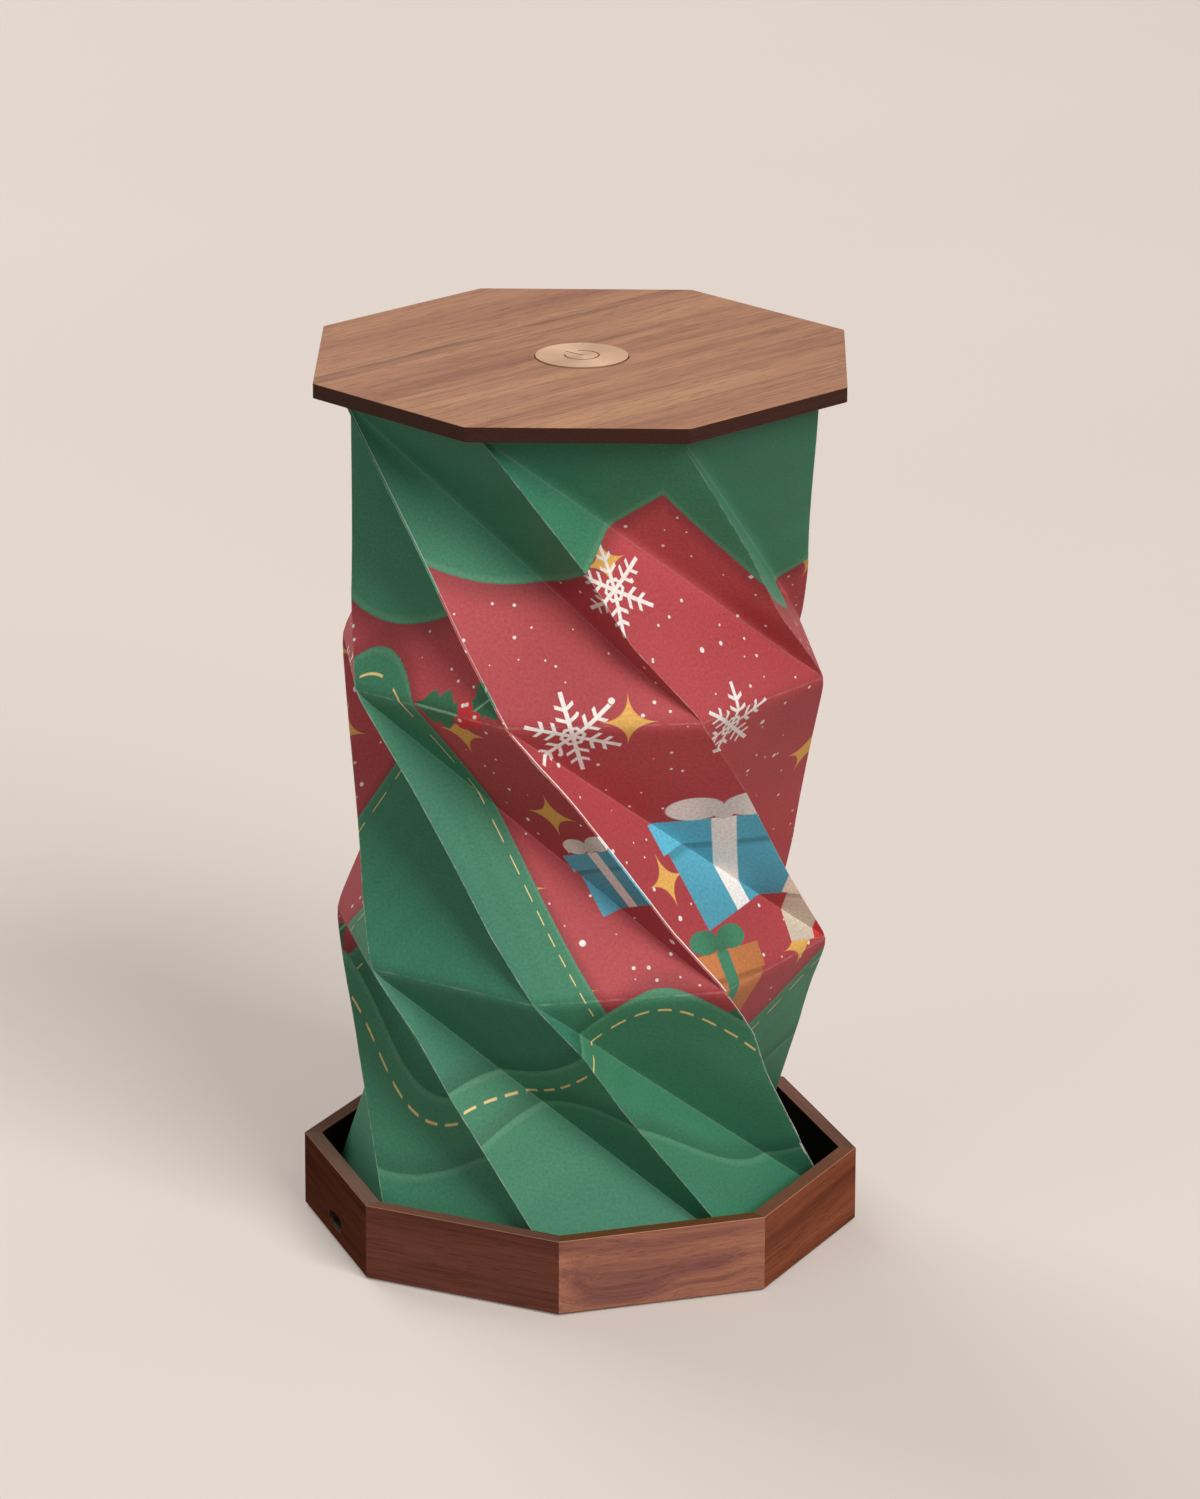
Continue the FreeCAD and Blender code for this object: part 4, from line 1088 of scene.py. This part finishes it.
finishes = {
    "printed_paper": printed_paper("printed_paper"),
    "plain_paper": plain_paper("plain_paper"),
    "lead_sheath": moulded("lead_sheath", linear(226, 224, 220), 0.5),
    "black_plastic": moulded("black_plastic", linear(26, 26, 27), 0.55),
    "black_card": moulded("black_card", linear(24, 23, 22), 0.85, 1500.0, 0.05, 0.0, 0.2),
    # The charging socket's steel is given a dark colour, as painted shade of the slot it sits in
    "steel_painted_shade": moulded("steel_painted_shade", linear(46, 44, 43), 0.5, 900.0, 0.02, 0.6),
    "rubber": moulded("rubber", linear(34, 33, 33), 0.8, 1200.0, 0.05),
    "cell_pouch": moulded("cell_pouch", linear(186, 188, 192), 0.35, 240.0, 0.08, 0.8),
    "white_aluminium": moulded("white_aluminium", linear(232, 232, 230), 0.5),
    "led_white": moulded("led_white", linear(240, 216, 130), 0.3),
    "brushed_steel": brushed_steel(),
    "circuit_board": circuit_board(),
    "plywood": plywood(),
    "opal_plastic": opal_plastic(),
    "brushed_gold": brushed_gold(),
}

shade = fold_sheet()
work_folds(shade)
flap = lift_flap(shade)
turn_hems(shade)
dress(shade, finishes["printed_paper"], finishes["plain_paper"])
dress(flap, finishes["printed_paper"], finishes["plain_paper"])
thicken(shade, PAPER)
thicken(flap, PAPER)
for thing in (shade, flap):
    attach(thing, "shade")
    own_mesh(thing)
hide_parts("paper_shade")

climb = [ring_point(0, LEAD_CORNER, LEAD_INSET, LEAD_LIFT), ring_point(1, LEAD_CORNER, LEAD_INSET),
         ring_point(2, LEAD_CORNER, LEAD_INSET), ring_point(3, LEAD_CORNER, LEAD_INSET, -LEAD_LIFT)]
shade_wire = run_lead("shade_wire", climb, "shade_lead", "shade")
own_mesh(shade_wire)

# Along the deck and down to the driver board, and in under the lid to the switch
deck_start = ring_point(0, LEAD_CORNER, LEAD_INSET, LEAD_BED)
deck_turn = deck_start * (LEAD_DROP / deck_start.xy.length)
deck_turn.z = deck_start.z
bend = (deck_start - deck_turn).normalized() * LEAD_BEND
fall = Vector((0, 0, LEAD_BEND))
run_lead("base_wire", [deck_start, deck_turn + bend, deck_turn, deck_turn - fall,
                       Vector((deck_turn.x, deck_turn.y, PLUG_TOP))], "base_lead", "base")
lid_start = ring_point(TIERS, LEAD_CORNER, LEAD_INSET, -LEAD_BED)
lid_end = lid_start * (HOUSING_INSIDE / lid_start.xy.length)
lid_end.z = lid_start.z
run_lead("lid_wire", [lid_start, lid_start.lerp(lid_end, 0.5), lid_end], "lid_lead", "lid")

# Timber: each strip of the tray was cut from another board. Light, middle and dark of its bands, its worn
# rim, how far the bands sway and how close they are
STRIPS = (
    ("front", (184, 129, 102), (160, 107, 87), (129, 84, 78), (106, 70, 45), 14.0, 0.16),
    ("front_right", (158, 96, 70), (142, 82, 58), (110, 61, 44), (124, 84, 65), 3.0, 0.12),
    ("right", (124, 74, 55), (98, 56, 42), (66, 37, 29), (115, 82, 70), 3.0, 0.085),
    ("back_right", (116, 68, 50), (92, 52, 39), (62, 34, 26), (110, 78, 64), 2.0, 0.085),
    ("back", (130, 80, 60), (104, 60, 45), (72, 40, 32), (112, 76, 60), 8.0, 0.12),
    ("back_left", (112, 66, 48), (88, 48, 36), (58, 31, 23), (108, 78, 66), 2.0, 0.085),
    ("left", (112, 65, 47), (98, 56, 41), (77, 42, 31), (110, 86, 75), 2.0, 0.085),
    ("front_left", (131, 80, 66), (116, 69, 57), (91, 53, 44), (108, 76, 62), 2.0, 0.085),
)
for step, (place, light, middle, dark, rim, figure, band) in enumerate(STRIPS):
    finish = walnut("walnut_" + place, step * STEP, linear(*light), linear(*middle), linear(*dark),
                    step * 1.7 + 0.4, figure, rim=linear(*rim), band=band)
    dress(nodes["tray_side_" + place], finish)
lid_finish = walnut("walnut_lid", LID_TURN, linear(184, 137, 103), linear(168, 121, 93), linear(142, 97, 76),
                    5.3, 3.0, edge=linear(58, 32, 25), streak=-27.3, sheen=0.12, fleck=0.4)
dress(nodes["lid_plate"], lid_finish)

CAD_FINISHES = {
    "bottom_board": "plywood", "deck_spacers": "black_plastic", "base_screws": "brushed_steel",
    "rubber_feet": "rubber", "usb_socket": "steel_painted_shade", "usb_tongue": "black_plastic",
    "driver_board": "circuit_board", "driver_components": "black_plastic", "battery_pad": "rubber",
    "battery": "cell_pouch", "deck": "black_card", "led_board": "white_aluminium", "led_chips": "led_white",
    "led_screws": "brushed_steel", "diffuser": "opal_plastic",
    "button_housing": "black_plastic", "housing_screws": "brushed_steel", "switch_board": "circuit_board",
    "tact_switch": "black_plastic", "power_button": "brushed_gold",
    "switch_plunger": "black_plastic",
}
for node, finish in CAD_FINISHES.items():
    dress(nodes[node], finishes[finish])


# Floor, light and camera

FLOOR_SIZE = 6.0
FLOOR_GLOW = 0.22
SKY_GLOW = 0.19
LIGHT_AIM = Vector((0.0, 0.0, 0.11))
# Name, place and size in metres, power in watts and colour
LIGHTS = (
    ("key", (0.85, -2.95, 2.55), 2.0, 138.0, (1.0, 0.97, 0.94)),
    ("back", (-0.7, 2.8, 2.3), 2.0, 62.0, (1.0, 0.98, 0.96)),
    ("fill", (-2.6, -1.5, 1.0), 1.8, 14.0, (1.0, 0.97, 0.95)),
)
CAMERA_TURN = math.radians(-18.55)
CAMERA_RISE = math.radians(18.15)
CAMERA_ROLL = math.radians(0.206)
CAMERA_AIM = Vector((4.21, -1.41, 114.8)) * MM
CAMERA_DISTANCE = 1.7805
CAMERA_LENS = 184.98
CAMERA_SENSOR = 36.0
CAMERA_FAR = 50.0


def floor():
    bpy.ops.object.select_all(action="DESELECT")
    bpy.ops.mesh.primitive_plane_add(size=FLOOR_SIZE, location=(0, 0, 0))
    ground = bpy.context.object
    ground.name = "floor"
    f = Finish("pale_floor")
    mist = f.cloud(f.place(), 3.0, 2.0)
    pale = f.blend(mist, linear(196, 186, 179), linear(201, 192, 186))
    rays = f.add("ShaderNodeLightPath").outputs
    seen = f.either(rays["Is Camera Ray"], rays["Is Glossy Ray"], rays["Is Transmission Ray"])
    f.set(Base_Color=f.blend(seen, linear(120, 96, 82), pale), Roughness=0.8)
    f.set(Emission_Color=linear(232, 222, 214), Emission_Strength=f.times(seen, FLOOR_GLOW))
    dress(ground, f.material)


def area_light(name, place, size, power, colour):
    data = bpy.data.lights.new(name, "AREA")
    data.shape = "SQUARE"
    data.size = size
    data.energy = power
    data.color = colour
    light = bpy.data.objects.new(name, data)
    bpy.context.scene.collection.objects.link(light)
    light.location = place
    light.rotation_euler = (LIGHT_AIM - Vector(place)).to_track_quat("-Z", "Y").to_euler()


def sky():
    world = bpy.data.worlds.new("studio")
    bpy.context.scene.world = world
    world.use_nodes = True
    tree = world.node_tree
    tree.nodes.clear()
    out = tree.nodes.new("ShaderNodeOutputWorld")
    glow = tree.nodes.new("ShaderNodeBackground")
    seen = tree.nodes.new("ShaderNodeBackground")
    rays = tree.nodes.new("ShaderNodeLightPath")
    either = tree.nodes.new("ShaderNodeMath")
    either.operation = "MAXIMUM"
    more = tree.nodes.new("ShaderNodeMath")
    more.operation = "MAXIMUM"
    mix = tree.nodes.new("ShaderNodeMixShader")
    glow.inputs["Color"].default_value = (1.0, 0.96, 0.92, 1.0)
    glow.inputs["Strength"].default_value = SKY_GLOW
    seen.inputs["Color"].default_value = linear(228, 214, 206)
    seen.inputs["Strength"].default_value = 1.0
    tree.links.new(rays.outputs["Is Camera Ray"], either.inputs[0])
    tree.links.new(rays.outputs["Is Glossy Ray"], either.inputs[1])
    tree.links.new(either.outputs[0], more.inputs[0])
    tree.links.new(rays.outputs["Is Transmission Ray"], more.inputs[1])
    tree.links.new(more.outputs[0], mix.inputs[0])
    tree.links.new(glow.outputs[0], mix.inputs[1])
    tree.links.new(seen.outputs[0], mix.inputs[2])
    tree.links.new(mix.outputs[0], out.inputs["Surface"])


def camera():
    data = bpy.data.cameras.new("camera")
    data.lens = CAMERA_LENS
    data.sensor_width = CAMERA_SENSOR
    data.clip_end = CAMERA_FAR
    eye = bpy.data.objects.new("camera", data)
    bpy.context.scene.collection.objects.link(eye)
    back = Vector((math.sin(CAMERA_TURN) * math.cos(CAMERA_RISE),
                   -math.cos(CAMERA_TURN) * math.cos(CAMERA_RISE), math.sin(CAMERA_RISE)))
    right = Vector((math.cos(CAMERA_TURN), math.sin(CAMERA_TURN), 0.0))
    up = back.cross(right)
    rolled_right = right * math.cos(CAMERA_ROLL) + up * math.sin(CAMERA_ROLL)
    rolled_up = up * math.cos(CAMERA_ROLL) - right * math.sin(CAMERA_ROLL)
    turn = Matrix((rolled_right, rolled_up, back)).transposed()
    eye.matrix_world = Matrix.Translation(CAMERA_AIM + back * CAMERA_DISTANCE) @ turn.to_4x4()
    bpy.context.scene.camera = eye


floor()
sky()
for light in LIGHTS:
    area_light(*light)
camera()
bpy.context.scene.view_settings.view_transform = "Standard"
